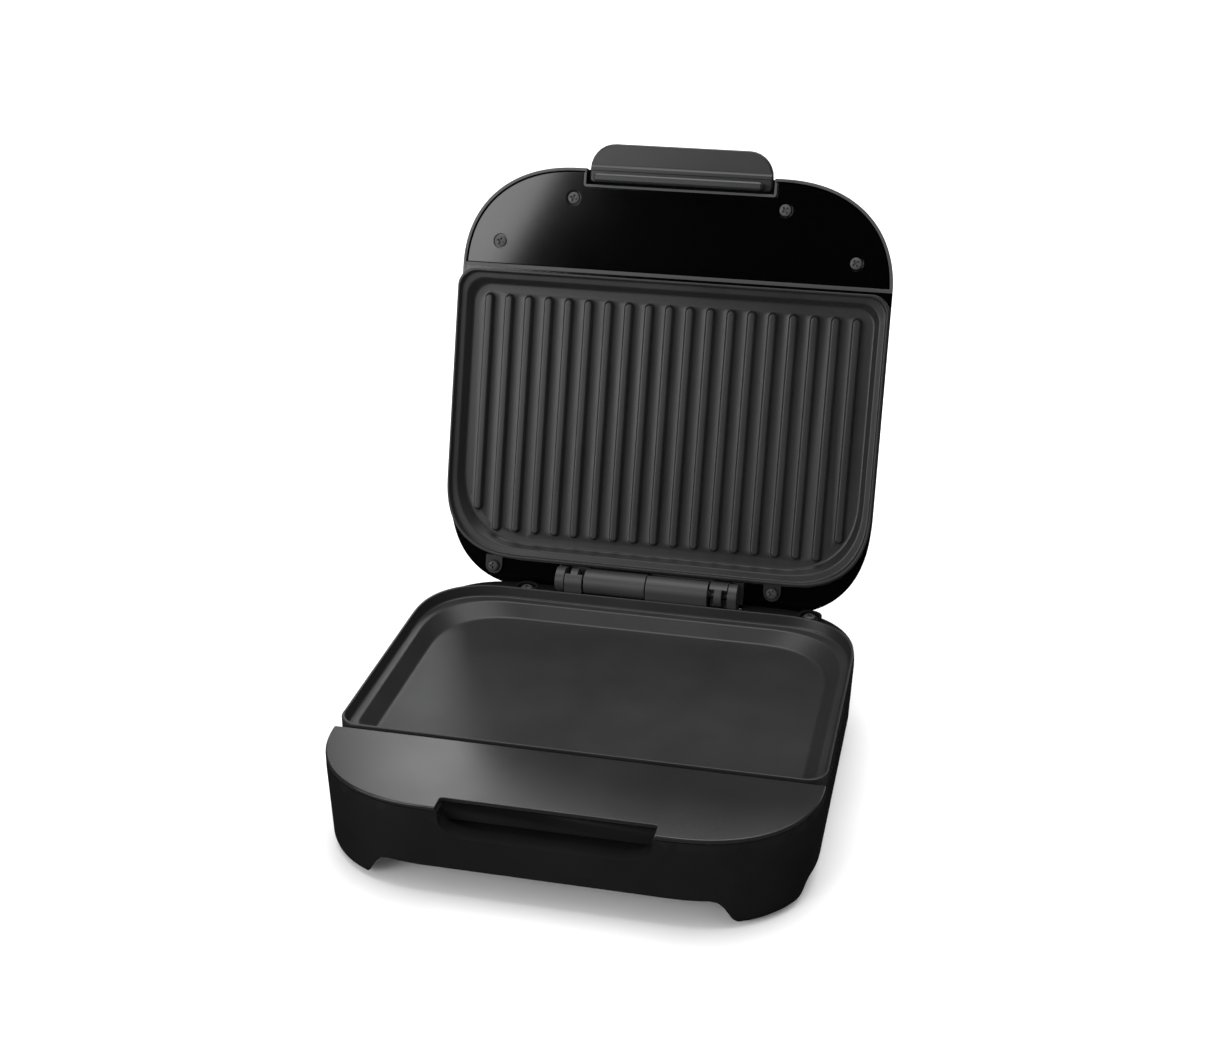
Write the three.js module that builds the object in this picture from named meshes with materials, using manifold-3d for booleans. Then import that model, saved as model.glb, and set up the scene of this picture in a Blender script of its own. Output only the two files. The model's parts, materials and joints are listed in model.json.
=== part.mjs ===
// Sandwich maker: a deep base with a flat tray, a shallow lid with a ribbed plate, and a pinned hinge.
// Millimetres, +Z up, standing on its feet with the lid open on its stop.
// Both halves are drawn in one half frame: its X axis is the hinge axis, the cooking side faces +Z and the
// front is at -Y. The base keeps that frame. The lid is turned over about Y and swung open about X.
import * as THREE from "three";
import { mergeVertices } from "three/addons/utils/BufferGeometryUtils.js";
import Module from "manifold-3d";

const wasm = await Module();
wasm.setup();

// Overall sizes
const OPEN_ANGLE = 107.5; // degrees from closed to the stop
const PLATE_WIDTH = 236;
const PLATE_DEPTH = 158.5;
const HINGE_SETBACK = 8.3; // from the rear edge of the plates back to the hinge axis
const PLATE_GAP = 6.8; // between the two rims when the lid is closed
const PLATE_PROUD = 8.7; // height of a plate's rim above the lip of its shell
const SHELL_MARGIN = 0.2; // the shells stand out this far beside the plates
const APRON_DEPTH = 57.6; // from the front of the plates to the front of the shells
const BASE_DEPTH = 48.5; // from the rim of the base plate down to the feet
const LID_DEPTH = 36; // from the rim of the lid plate to the lid's roof
const STOP_CLEARANCE = 0.3; // left between the two rear lips when the lid rests open
const CLEARANCE = 0.3; // between pieces that touch
const OVERRUN = 1; // cuts run this far past the faces that they cut

// Corners of the outlines seen from above: semi-axes and the power of their superellipse
const PLATE_FRONT_CORNER = 10;
const PLATE_REAR_CORNER_X = 43;
const PLATE_REAR_CORNER_Y = 43.4;
const FRONT_STRAIGHT_HALF = 55; // half of the straight middle of the shells' front
const SHELL_REAR_CORNER_X = 50;
const SHELL_REAR_CORNER_Y = 56;
const ROUND_POWER = 2;
const PLATE_REAR_POWER = 2.5;
const SHELL_FRONT_POWER = 2.25;
const SHELL_REAR_POWER = 2.4;
const SMALL_CORNER_STEPS = 3;
const LARGE_CORNER_STEPS = 7;

// Moulded shells
const WALL = 2.2;
const DECK = 2; // thickness of the deck round the plate
const BASE_DRAFT_SHARE = 0.038;
const LID_DRAFT_SHARE = 0.05;
const FOOT_ROUNDING = 4.4;
const ROOF_ROUNDING = 10;
const ROUNDING_STEPS = 3;
const BOX_SETBACK = 1.5; // from the plate's front forward to the raised box of the base

// Raised rear deck of the base, on both sides of the hinge, with a ring round each ear
const PLATFORM_DEPTH = 5.4; // from the rim down to the platform
const PLATFORM_MARGIN = 2.5; // beside the hinge's plate
const PLATFORM_START = 30; // forward of the plate's rear, where its ramp starts
const PLATFORM_RAMP = 14;
const RING_RADIUS = 6.4;
const RING_DEPTH = 2.1; // from the rim down to the ring's top

// Arches between the four legs of the base: height under the rim, and where each S-curve starts and ends,
// the front arch's from the shell's side
const FRONT_ARCH_DEPTH = 33.7;
const FRONT_ARCH_FOOT_INSET = 27.2;
const FRONT_ARCH_CROWN_INSET = 43.7;
const SIDE_ARCH_DEPTH = 38;
const SIDE_ARCH_FRONT_FOOT = 33; // forward of the plate's front
const SIDE_ARCH_FRONT_CROWN = 17;
const SIDE_ARCH_REAR_FOOT = 26; // forward of the shell's rear
const SIDE_ARCH_REAR_CROWN = 44;
const ARCH_STEPS = 6;

// Front apron of the base
const APRON_DROP = 1; // below the rim of the plate
const APRON_THICKNESS = 2;
const APRON_CHAMFER = 0.5;
const NOTCH_HALF = 50;
const NOTCH_DEPTH = 8.5;
const NOTCH_CORNER = 1.5;

// Finger recess in the front wall of the base
const RECESS_HALF = 49;
const RECESS_HEIGHT = 16.3; // from the rim down to the recess's floor
const RECESS_CORNER_X = 14;
const RECESS_CORNER_Z = 9;
const RECESS_BAND = 12; // from the rim down to the lower edge of the band
const POCKET_DEPTH = 5; // the pocket behind the band
const POCKET_RISE = 1.8; // its floor rises this much to the back
const RECESS_CORNER_STEPS = 5;

// Profile of both plates: insets from the outline and depths below the rim
const RIM_WIDTH = 1.2;
const PLATE_THICKNESS = 2.2;
const SKIRT_DEPTH = 6.6;
const SKIRT_THICKNESS = 2;
const TRAY_WALL_DEPTH = 5.4;
const TRAY_WALL_FOOT = 1.8;
const TRAY_FILLET_INSET = 2.6;
const TRAY_FILLET_DEPTH = 5.9;
const TRAY_LEDGE_INSET = 6.2;
const TRAY_LEDGE_DEPTH = 6.4;
const TRAY_FLOOR_INSET = 12.8;
const TRAY_FLOOR_DEPTH = 12.9;
const TRAY_FLOOR_FILLET = 1.2;
const GRILL_WALL_INSET = 1.6;
const GRILL_WALL_DEPTH = 2;
const GRILL_LEDGE_INSET = 4.7;
const GRILL_LEDGE_DEPTH = 2.6;
const GRILL_SLOPE_INSET = 6.4;
const GRILL_SLOPE_DEPTH = 4.5;
const GRILL_FLOOR_INSET = 8.4;
const GRILL_FLOOR_DEPTH = 7.5;

// Ribs of the lid plate
const RIB_COUNT = 19;
const RIB_SIDE_INSET = 16.84; // of the outermost ribs, from the plate's side
const RIB_HEIGHT = 3;
const RIB_FOOT_WIDTH = 6.8;
const RIB_TOP_WIDTH = 2.6;
const RIB_SHOULDER_SHARE = 0.8; // height of the rib's shoulder in its height
const RIB_FRONT_MARGIN = 13; // from the plate's front edge
const RIB_REAR_MARGIN = 13.5;
const RIB_CORNER_MARGIN = 24.5; // of the outermost ribs, which end before the round corners
const RIB_END_STEPS = 3;

// Plate frames
const FLANGE_THICKNESS = 1.5;
const FLANGE_REACH = 1.8; // behind the plate
const FLANGE_FLAT = 1.1;
const COLLAR_INSET = 2;
const COLLAR_THICKNESS = 1.4;
const COLLAR_DEPTH = 14.5; // below the rim
const EAR_RADIUS = 4.8;
const EAR_STEPS = 6;
const LEFT_EAR_SHARE = 0.235; // of the way from the hinge's side to the plate's side
const RIGHT_EAR_INSET = 28; // from the plate's side
const EAR_SETBACK = 6.1; // from the plate's rear edge to the ear's screw
const RAISED_EAR_HEIGHT = 3; // of the base's ears above their flange
const EAR_BOSS_RADIUS = 3.8;
const EAR_BOSS_LENGTH = 7;

// Screws
const SCREW_HEAD_RADIUS = 3.2;
const SCREW_HEAD_HEIGHT = 1.5;
const SCREW_SHANK_RADIUS = 1.5;
const SCREW_LENGTH = 7;
const SCREW_SIDES = 8;
const ROUND_SIDES = 14;
const SCREW_CROWN_SHARE = 0.7; // radius of the head's flat top in the head's radius

// Hinge: barrels along X, bored for the pin
const BARREL_RADIUS = 6.75;
const BARREL_START = 0.3;
const BARREL_END = 34.3;
const KNUCKLE_START = 35.3;
const KNUCKLE_END = 45;
const KNUCKLE_STEM = 4; // width of the stem over the knuckle's top
const KNUCKLE_SHOULDER_ANGLE = 57; // degrees above level where the knuckle narrows at the front
const CHEEK_START = 45.5;
const CHEEK_END = 50.4;
const PIN_RADIUS = 2;
const PIN_CAP = 1.5; // material left outside the blind bore of a cheek
const WEB_REAR = 4.5;
const HINGE_PLATE_REAR = 6;
const HINGE_PLATE_THICKNESS = 1.5;
const HINGE_PLATE_MARGIN = 1.6; // beyond the cheeks
const HINGE_SCREW_Y = -1;
const HINGE_SCREW_BITE = 5;
const BARREL_SIDES = 20;

// Heaters, reflectors and controls
const HEATER_RADIUS = 3.1;
const HEATER_INSET = 33; // from the plate's outline
const HEATER_BEND = 20;
const HEATER_TAIL = 16; // from the middle to each end of the tube
const HEATER_REAR_INSET = 30;
const HEATER_STEPS = 44;
const HEATER_SIDES = 6;
const REFLECTOR_SHEET = 0.8;
const REFLECTOR_FLANGE_INSET = 2.4;
const REFLECTOR_WALL_INSET = 3.8;
const BASE_REFLECTOR_DEPTH = 24.1; // from the rim to the reflector's floor
const LID_REFLECTOR_DEPTH = 19.1;
const THERMOSTAT_RADIUS = 9;
const THERMOSTAT_CAP_RADIUS = 6;
const THERMOSTAT_HEIGHT = 4;
const THERMOSTAT_CAP_HEIGHT = 2.6;
const FUSE_RADIUS = 2.2;
const FUSE_LENGTH = 14;
const FUSE_OFFSET = 30; // beside the middle of the plate
const FUSE_CAP_SHARE = 0.6;
const TERMINAL_WIDTH = 30;
const TERMINAL_DEPTH = 12;
const TERMINAL_HEIGHT = 5;
const TERMINAL_POLES = 3;
const TERMINAL_WELL_RADIUS = 2.4;
const TERMINAL_WELL_DEPTH = 3;
const TERMINAL_SETBACK = 26; // from the shell's rear to the middle of the block

// Bottom cover of the base
const COVER_SIDE_INSET = 58.2; // from the shell's side
const COVER_FRONT = 12; // behind the plate's front
const COVER_LENGTH = 112;
const COVER_THICKNESS = 2;
const COVER_CORNER = 8;
const COVER_LAP = 9; // of the cover over the edge of the service opening
const COVER_SCREW_INSET = 4.5;
const COVER_BOSS_RADIUS = 3.4;
const COVER_BOSS_LENGTH = 4.5;
const VENT_COUNT = 6;
const VENT_PITCH = 9;
const VENT_WIDTH = 3;
const VENT_LENGTH = 26;
const VENT_OFFSET = 24; // of the two rows from the middle

// Foot pads
const PAD_MARGIN = 0.8; // inside the flat sole of each foot
const PAD_THICKNESS = 1.6;
const PAD_POCKET = 1.1;

// Cord gland in the rear wall
const GLAND_X = -30;
const GLAND_DROP = 14; // below the lip
const GLAND_NECK_RADIUS = 4.2;
const GLAND_FLANGE_RADIUS = 5.8;
const GLAND_FLANGE = 1.5;
const GLAND_BORE_RADIUS = 2.6;

// Front of the lid
const BEZEL_LIP = 1.6;
const BEZEL_RECESS = 0.8;
const BEZEL_THICKNESS = 2;
const BAR_FRONT = 3.3; // forward of the plate's front
const BEZEL_SCREW_INSETS = [60.2, 20.5]; // from the shell's side
const BEZEL_SCREW_Y = [41.3, 15.7]; // forward of the plate's front
const BEZEL_WELL_RADIUS = 4;
const BEZEL_WELL_DEPTH = 0.8;
const BEZEL_SCREW_HEAD_HEIGHT = 0.9;
const BEZEL_BOSS_RADIUS = 3.4;

// Handle of the lid: a tab with a ridge across its root, and a lip that stands up towards the base
const HANDLE_HALF = 50;
const HANDLE_REACH = 13.9; // in front of the shell
const HANDLE_CORNER = 13.5;
const HANDLE_DROP = 1.9; // from the shell's lip down to the tab
const HANDLE_THICKNESS = 4.5;
const HANDLE_ROOT_CORNER = 2.4;
const HANDLE_EDGE = 1.2;
const HANDLE_BACK = 7.3; // behind the shell's front
const HANDLE_SIDE_GAP = 1.4; // between the tab and the sides of its pocket
const HANDLE_REAR_GAP = 1.2;
const RIDGE_FRONT = -0.9; // behind the shell's front
const RIDGE_REAR = 0.8;
const RIDGE_HEIGHT = 1;
const RIDGE_FILLET = 1.6;
const RIDGE_END_INSET = 0.6; // from the sides of the tab
const HANDLE_LIP_HEIGHT = 8.5; // above the shell's lip
const HANDLE_LIP_INSET = 4; // from the sides of the tab
const HANDLE_LIP_FRONT = 2.6; // behind the shell's front
const HANDLE_LIP_CORNER = 0.8;
const HANDLE_LIP_DRAFT = 0.3;
const HANDLE_LIP_CHAMFER = 0.8;
const HANDLE_SCREW_X = 28;
const HANDLE_SCREW_Y = 4.6; // behind the shell's front
const HANDLE_SCREW_RELIEF = 8; // length of the groove beside each screw head in the front wall
const HANDLE_POCKET_WALL = 1.4;
const HANDLE_SCREW_BITE = 3;

// Pilot lamps in the lid's roof
const LAMP_X = 14;
const LAMP_Y = 27; // forward of the plate's front
const LENS_RADIUS = 4;
const LENS_HEAD_RADIUS = 5.2;
const LENS_HEAD_HEIGHT = 1;
const LENS_SHANK_LENGTH = 5;
const LENS_BORE_DEPTH = 3.6;
const LAMP_RADIUS = 2.2;
const LAMP_LENGTH = 9;
const LAMP_SIDES = 10;

// Levels and places in the half frame
const RIGHT_ANGLE = Math.PI / 2;
const openAngle = THREE.MathUtils.degToRad(OPEN_ANGLE);
const rimZ = -PLATE_GAP / 2;
const lipZ = rimZ - PLATE_PROUD;
const deckZ = lipZ - DECK;
const footZ = rimZ - BASE_DEPTH;
const roofZ = rimZ - LID_DEPTH;
const apronZ = rimZ - APRON_DROP;
const boxTopZ = apronZ - APRON_THICKNESS - CLEARANCE;
const archZ = rimZ - FRONT_ARCH_DEPTH;
const floorZ = archZ + WALL;
const flangeZ = lipZ + CLEARANCE;
const flangeTopZ = flangeZ + FLANGE_THICKNESS;
const collarZ = rimZ - COLLAR_DEPTH;
const bezelTopZ = lipZ - BEZEL_RECESS;
const bezelZ = bezelTopZ - BEZEL_THICKNESS;
const plateRear = -HINGE_SETBACK;
const plateFront = plateRear - PLATE_DEPTH;
const shellFront = plateFront - APRON_DEPTH;
const shellRear = -lipZ / Math.tan(openAngle / 2) - STOP_CLEARANCE;
const shellHalf = PLATE_WIDTH / 2 + SHELL_MARGIN;
const hingeHalf = CHEEK_END + HINGE_PLATE_MARGIN;
const archFoot = shellHalf - FRONT_ARCH_FOOT_INSET;
const archCrown = shellHalf - FRONT_ARCH_CROWN_INSET;
const boxRear = plateFront - BOX_SETBACK;
const plateMiddle = (plateFront + plateRear) / 2;
const bore = SCREW_SHANK_RADIUS + CLEARANCE;
const earY = plateRear + EAR_SETBACK;
const earRoom = EAR_RADIUS + CLEARANCE;

// Corners of the plans: semi-axes, power of the superellipse and steps.
const roundCorner = (radius) => ({ x: radius, y: radius, power: ROUND_POWER, steps: SMALL_CORNER_STEPS });
const largeCorner = (x, y, power) => ({ x, y, power, steps: LARGE_CORNER_STEPS });

const PLATE_PLAN = {
  half: PLATE_WIDTH / 2,
  front: plateFront,
  rear: plateRear,
  frontCorner: roundCorner(PLATE_FRONT_CORNER),
  rearCorner: largeCorner(PLATE_REAR_CORNER_X, PLATE_REAR_CORNER_Y, PLATE_REAR_POWER),
};
const FRAME_PLAN = {
  ...PLATE_PLAN,
  half: PLATE_PLAN.half - CLEARANCE,
  front: PLATE_PLAN.front + CLEARANCE,
  rear: PLATE_PLAN.rear + FLANGE_REACH,
};
const SHELL_PLAN = {
  half: shellHalf,
  front: shellFront,
  rear: shellRear,
  frontCorner: largeCorner(shellHalf - FRONT_STRAIGHT_HALF, APRON_DEPTH, SHELL_FRONT_POWER),
  rearCorner: largeCorner(SHELL_REAR_CORNER_X, SHELL_REAR_CORNER_Y, SHELL_REAR_POWER),
};

// Materials, one for each kind of surface
const shellPlastic = new THREE.MeshStandardMaterial({ color: 0x1c1c1c, roughness: 0.6, metalness: 0 });
const satinPlastic = new THREE.MeshStandardMaterial({ color: 0x303030, roughness: 0.35, metalness: 0 });
const glossPlastic = new THREE.MeshStandardMaterial({ color: 0x0a0a0a, roughness: 0.08, metalness: 0 });
const handlePlastic = new THREE.MeshStandardMaterial({ color: 0x3a3a3a, roughness: 0.5, metalness: 0 });
const coating = new THREE.MeshStandardMaterial({ color: 0x3c3c3c, roughness: 0.45, metalness: 0.3 });
const framePaint = new THREE.MeshStandardMaterial({ color: 0x2c2c2c, roughness: 0.5, metalness: 0.2 });
const hingePaint = new THREE.MeshStandardMaterial({ color: 0x4a4a4a, roughness: 0.5, metalness: 0.2 });
const steel = new THREE.MeshStandardMaterial({ color: 0x9a9a9a, roughness: 0.35, metalness: 1 });
const brightSheet = new THREE.MeshStandardMaterial({ color: 0xb9bcc0, roughness: 0.3, metalness: 1 });
const heaterSheath = new THREE.MeshStandardMaterial({ color: 0x5a5650, roughness: 0.6, metalness: 0.7 });
const rubber = new THREE.MeshStandardMaterial({ color: 0x161616, roughness: 0.9, metalness: 0 });
const phenolic = new THREE.MeshStandardMaterial({ color: 0x2b2622, roughness: 0.7, metalness: 0 });
const nylon = new THREE.MeshStandardMaterial({ color: 0xd8d4c8, roughness: 0.6, metalness: 0 });
const redLens = new THREE.MeshStandardMaterial({ color: 0xa01510, roughness: 0.15, metalness: 0 });
const greenLens = new THREE.MeshStandardMaterial({ color: 0x1c7a2c, roughness: 0.15, metalness: 0 });
const lampGlass = new THREE.MeshStandardMaterial({ color: 0xe8d9c0, roughness: 0.1, metalness: 0 });

// Turns a closed geometry into a solid that can be cut and joined.
function solid(geometry) {
  const bare = geometry.clone();
  bare.deleteAttribute("normal");
  bare.deleteAttribute("uv");
  const merged = mergeVertices(bare);
  const vertProperties = merged.attributes.position.array;
  const triVerts = Uint32Array.from(merged.index.array);
  return new wasm.Manifold(new wasm.Mesh({ numProp: 3, vertProperties, triVerts }));
}

// Turns a solid back into a geometry with flat facets.
function geometryOf(body) {
  const { vertProperties, triVerts } = body.getMesh();
  const indexed = new THREE.BufferGeometry();
  indexed.setAttribute("position", new THREE.BufferAttribute(Float32Array.from(vertProperties), 3));
  indexed.setIndex(new THREE.BufferAttribute(Uint32Array.from(triVerts), 1));
  const faceted = indexed.toNonIndexed();
  faceted.computeVertexNormals();
  return faceted;
}

const joined = (bodies) => bodies.reduce((sum, body) => sum.add(body));
const cutBy = (body, cuts) => cuts.reduce((rest, cut) => rest.subtract(cut), body);

// Outline of a plan, counter-clockwise, moved inwards by inset. Its corners lose the inset too,
// apart from the share of it that they keep.
function outlineOf(plan, inset = 0, keptShare = 0) {
  const loss = inset * (1 - keptShare);
  const quarters = [
    [1, -1, plan.frontCorner],
    [1, 1, plan.rearCorner],
    [-1, 1, plan.rearCorner],
    [-1, -1, plan.frontCorner],
  ];
  return quarters.flatMap(([sideX, sideY, corner]) => {
    const reachX = corner.x - loss;
    const reachY = corner.y - loss;
    const centreX = sideX * (plan.half - inset - reachX);
    const centreY = sideY < 0 ? plan.front + inset + reachY : plan.rear - inset - reachY;
    return Array.from({ length: corner.steps + 1 }, (_, k) => {
      const swept = (k / corner.steps) * RIGHT_ANGLE;
      const turn = sideX === sideY ? swept : RIGHT_ANGLE - swept;
      const x = centreX + sideX * reachX * Math.cos(turn) ** (2 / corner.power);
      const y = centreY + sideY * reachY * Math.max(Math.sin(turn), 0) ** (2 / corner.power);
      return new THREE.Vector2(x, y);
    });
  });
}

const ringAt = (outline, z) => outline.map((point) => new THREE.Vector3(point.x, point.y, z));

// Skin over rings of equal point counts, each counter-clockwise seen from above. An open run of rings
// starts at the underside and is capped at both ends; a closed one goes round its own section.
function loft(rings, closed = false) {
  const count = rings[0].length;
  const faces = [];
  const spans = closed ? rings.length : rings.length - 1;
  for (let r = 0; r < spans; r++) {
    const here = r * count;
    const there = ((r + 1) % rings.length) * count;
    for (let k = 0; k < count; k++) {
      const next = (k + 1) % count;
      faces.push(here + k, here + next, there + next);
      faces.push(here + k, there + next, there + k);
    }
  }
  if (!closed) {
    const last = (rings.length - 1) * count;
    const flat = (ring) => ring.map((point) => new THREE.Vector2(point.x, point.y));
    for (const [a, b, c] of THREE.ShapeUtils.triangulateShape(flat(rings[0]), [])) faces.push(a, c, b);
    for (const [a, b, c] of THREE.ShapeUtils.triangulateShape(flat(rings.at(-1)), []))
      faces.push(last + a, last + b, last + c);
  }
  const geometry = new THREE.BufferGeometry();
  const positions = rings.flat().flatMap((point) => point.toArray());
  geometry.setAttribute("position", new THREE.Float32BufferAttribute(positions, 3));
  geometry.setIndex(faces);
  return geometry;
}

// Straight prisms of an outline: along Z it is drawn in X and Y, along Y in X and Z, along X in Y and Z.
const AXIS_X = new THREE.Vector3(1, 0, 0);
const AXIS_Y = new THREE.Vector3(0, 1, 0);
const AXIS_Z = new THREE.Vector3(0, 0, 1);
const prism = (outline, from, to) => solid(loft([ringAt(outline, from), ringAt(outline, to)]));

function prismAlongY(outline, from, to) {
  const upright = new THREE.Matrix4().makeBasis(AXIS_X, AXIS_Z, AXIS_Y.clone().negate());
  return solid(loft([ringAt(outline, -to), ringAt(outline, -from)]).applyMatrix4(upright));
}

function prismAlongX(outline, from, to) {
  const sideways = new THREE.Matrix4().makeBasis(AXIS_Y, AXIS_Z, AXIS_X);
  return solid(loft([ringAt(outline, from), ringAt(outline, to)]).applyMatrix4(sideways));
}

// Block between two opposite corners.
function block(lowX, highX, lowY, highY, lowZ, highZ) {
  const box = new THREE.BoxGeometry(highX - lowX, highY - lowY, highZ - lowZ);
  return solid(box.translate((lowX + highX) / 2, (lowY + highY) / 2, (lowZ + highZ) / 2));
}

// Round rods along Z and along X.
function rod(radius, x, y, lowZ, highZ, sides = SCREW_SIDES) {
  const cylinder = new THREE.CylinderGeometry(radius, radius, highZ - lowZ, sides).rotateX(RIGHT_ANGLE);
  return solid(cylinder.translate(x, y, (lowZ + highZ) / 2));
}

function rodAlongX(radius, from, to, sides = BARREL_SIDES) {
  const cylinder = new THREE.CylinderGeometry(radius, radius, to - from, sides).rotateZ(-RIGHT_ANGLE);
  return solid(cylinder.translate((from + to) / 2, 0, 0));
}

// Turned piece about Z. Its profile of radius and height starts and ends on the axis or closes on itself.
function turned(profile, sides) {
  const points = profile.map(([radius, height]) => new THREE.Vector2(radius, height));
  return new THREE.LatheGeometry(points, sides).rotateX(RIGHT_ANGLE);
}

// Arc of an outline, counter-clockwise from one angle.
function arc(x, y, radius, start, sweep, steps) {
  return Array.from({ length: steps + 1 }, (_, k) => {
    const angle = start + (sweep * k) / steps;
    return new THREE.Vector2(x + radius * Math.cos(angle), y + radius * Math.sin(angle));
  });
}

// Slot outline along Y, round at both ends.
function slot(x, fromY, toY, radius, steps) {
  const front = arc(x, fromY + radius, radius, Math.PI, Math.PI, steps);
  return [...front, ...arc(x, toY - radius, radius, 0, Math.PI, steps)];
}

// S-curve between two points, level at both ends.
function sCurve(from, to) {
  const middle = (from.x + to.x) / 2;
  const leave = new THREE.Vector2(middle, from.y);
  const arrive = new THREE.Vector2(middle, to.y);
  return new THREE.CubicBezierCurve(from, leave, arrive, to).getPoints(ARCH_STEPS);
}

// Outline of an arch, from under one foot over the crown to under the other, grown by a margin.
function archOutline(lowFoot, lowCrown, highCrown, highFoot, crownZ, margin) {
  const at = (place, z) => new THREE.Vector2(place, z);
  const top = crownZ + margin;
  const bottom = footZ - OVERRUN;
  const rise = sCurve(at(lowFoot - margin, footZ), at(lowCrown - margin, top));
  const fall = sCurve(at(highCrown + margin, top), at(highFoot + margin, footZ));
  const under = [at(highFoot + margin, bottom), at(lowFoot - margin, bottom)];
  return [...rise, ...fall, ...under].reverse();
}

// Rounded and drafted tub of a shell, from its closed end up to its top.
function tub(draftShare, endZ, topZ, inset, rounding) {
  const drafted = (z) => inset + draftShare * Math.max(lipZ - z, 0);
  const rings = Array.from({ length: ROUNDING_STEPS + 1 }, (_, k) => {
    const turn = (k / ROUNDING_STEPS) * RIGHT_ANGLE;
    const z = endZ + rounding * (1 - Math.cos(turn));
    return ringAt(outlineOf(SHELL_PLAN, drafted(z) + rounding * (1 - Math.sin(turn))), z);
  });
  rings.push(ringAt(outlineOf(SHELL_PLAN, drafted(Math.min(topZ, lipZ))), Math.min(topZ, lipZ)));
  if (topZ > lipZ) rings.push(ringAt(outlineOf(SHELL_PLAN, inset), topZ));
  return solid(loft(rings));
}

// All the room of a half forward of a line across it, and behind one.
const outside = shellHalf + OVERRUN;
const frontOf = (y, lowZ, highZ) => block(-outside, outside, shellFront - OVERRUN, y, lowZ, highZ);
const behind = (y, lowZ, highZ) => block(-outside, outside, y, shellRear + OVERRUN, lowZ, highZ);

// The cut that lets a plate's frame down into its shell.
function plateOpening() {
  const low = collarZ - REFLECTOR_SHEET - CLEARANCE - CLEARANCE;
  return prism(outlineOf(PLATE_PLAN, COLLAR_INSET - CLEARANCE, 1), low, lipZ + OVERRUN);
}

// Under-deck bosses and bores of the frame's ears, and the bores of the hinge's screws.
const leftEarX = -hingeHalf - (PLATE_PLAN.half - hingeHalf) * LEFT_EAR_SHARE;
const EAR_XS = [leftEarX, PLATE_PLAN.half - RIGHT_EAR_INSET];
const HINGE_SCREW_XS = [(BARREL_START + BARREL_END) / 2, -(KNUCKLE_START + KNUCKLE_END) / 2];
const earBosses = () =>
  EAR_XS.map((x) => rod(EAR_BOSS_RADIUS, x, earY, deckZ - EAR_BOSS_LENGTH, lipZ - DECK / 2));
const deckBores = () => [
  ...EAR_XS.map((x) => rod(bore, x, earY, lipZ - SCREW_LENGTH - CLEARANCE, lipZ + OVERRUN)),
  ...HINGE_SCREW_XS.map((x) => rod(bore, x, HINGE_SCREW_Y, deckZ - OVERRUN, lipZ + OVERRUN)),
];

// Recess for the fingers: a wide slot down the front wall, and a pocket behind the lower edge of its band.
function recessOutline(margin) {
  const half = RECESS_HALF + margin;
  const low = rimZ - RECESS_HEIGHT - margin;
  const corner = Array.from({ length: RECESS_CORNER_STEPS + 1 }, (_, k) => {
    const turn = (k / RECESS_CORNER_STEPS) * RIGHT_ANGLE;
    const x = half - RECESS_CORNER_X * (1 - Math.sin(turn));
    return new THREE.Vector2(x, low + RECESS_CORNER_Z * (1 - Math.cos(turn)));
  });
  const top = boxTopZ + OVERRUN;
  const right = [...corner, new THREE.Vector2(half, top)];
  return [...right, ...right.map((point) => new THREE.Vector2(-point.x, point.y)).reverse()];
}

function recess(margin) {
  const front = shellFront - OVERRUN;
  const back = shellFront + NOTCH_DEPTH + margin;
  const pocketBack = back + POCKET_DEPTH;
  const slotCut = prismAlongY(recessOutline(margin), front, back);
  const bandZ = rimZ - RECESS_BAND + margin;
  const low = rimZ - RECESS_HEIGHT - margin;
  const pocketSide = [
    new THREE.Vector2(front, low),
    new THREE.Vector2(back, low),
    new THREE.Vector2(pocketBack, low + POCKET_RISE),
    new THREE.Vector2(pocketBack, bandZ),
    new THREE.Vector2(front, bandZ),
  ];
  const pocket = prismAlongX(pocketSide, -RECESS_HALF - margin, RECESS_HALF + margin);
  return slotCut.add(pocket.intersect(prismAlongY(recessOutline(margin), front, pocketBack + OVERRUN)));
}

function frontArch(margin) {
  const outline = archOutline(-archFoot, -archCrown, archCrown, archFoot, archZ, margin);
  return prismAlongY(outline, shellFront - OVERRUN, shellRear + OVERRUN);
}

function sideArch(margin) {
  const crownZ = rimZ - SIDE_ARCH_DEPTH;
  const frontFoot = plateFront - SIDE_ARCH_FRONT_FOOT;
  const frontCrown = plateFront - SIDE_ARCH_FRONT_CROWN;
  const rearCrown = shellRear - SIDE_ARCH_REAR_CROWN;
  const rearFoot = shellRear - SIDE_ARCH_REAR_FOOT;
  const outline = archOutline(frontFoot, frontCrown, rearCrown, rearFoot, crownZ, margin);
  return prismAlongX(outline, -outside, outside);
}

// Names and sides of the feet
const FOOT_PLACES = [
  ["front_left", -1, -1],
  ["front_right", 1, -1],
  ["rear_left", -1, 1],
  ["rear_right", 1, 1],
];

// Prism of the flat sole of one foot, between the two arches and the rounded outline, moved in by a margin.
function solePrism(sideX, sideY, margin, low, high) {
  const rounded = BASE_DRAFT_SHARE * (lipZ - footZ) + FOOT_ROUNDING;
  const edge = prism(outlineOf(SHELL_PLAN, rounded + margin), low, high);
  const inner = archFoot + margin;
  const nearX = sideX < 0 ? -shellHalf : inner;
  const farX = sideX < 0 ? -inner : shellHalf;
  const nearY = sideY < 0 ? shellFront : shellRear - SIDE_ARCH_REAR_FOOT + margin;
  const farY = sideY < 0 ? plateFront - SIDE_ARCH_FRONT_FOOT - margin : shellRear;
  return edge.intersect(block(nearX, farX, nearY, farY, low, high));
}

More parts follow.
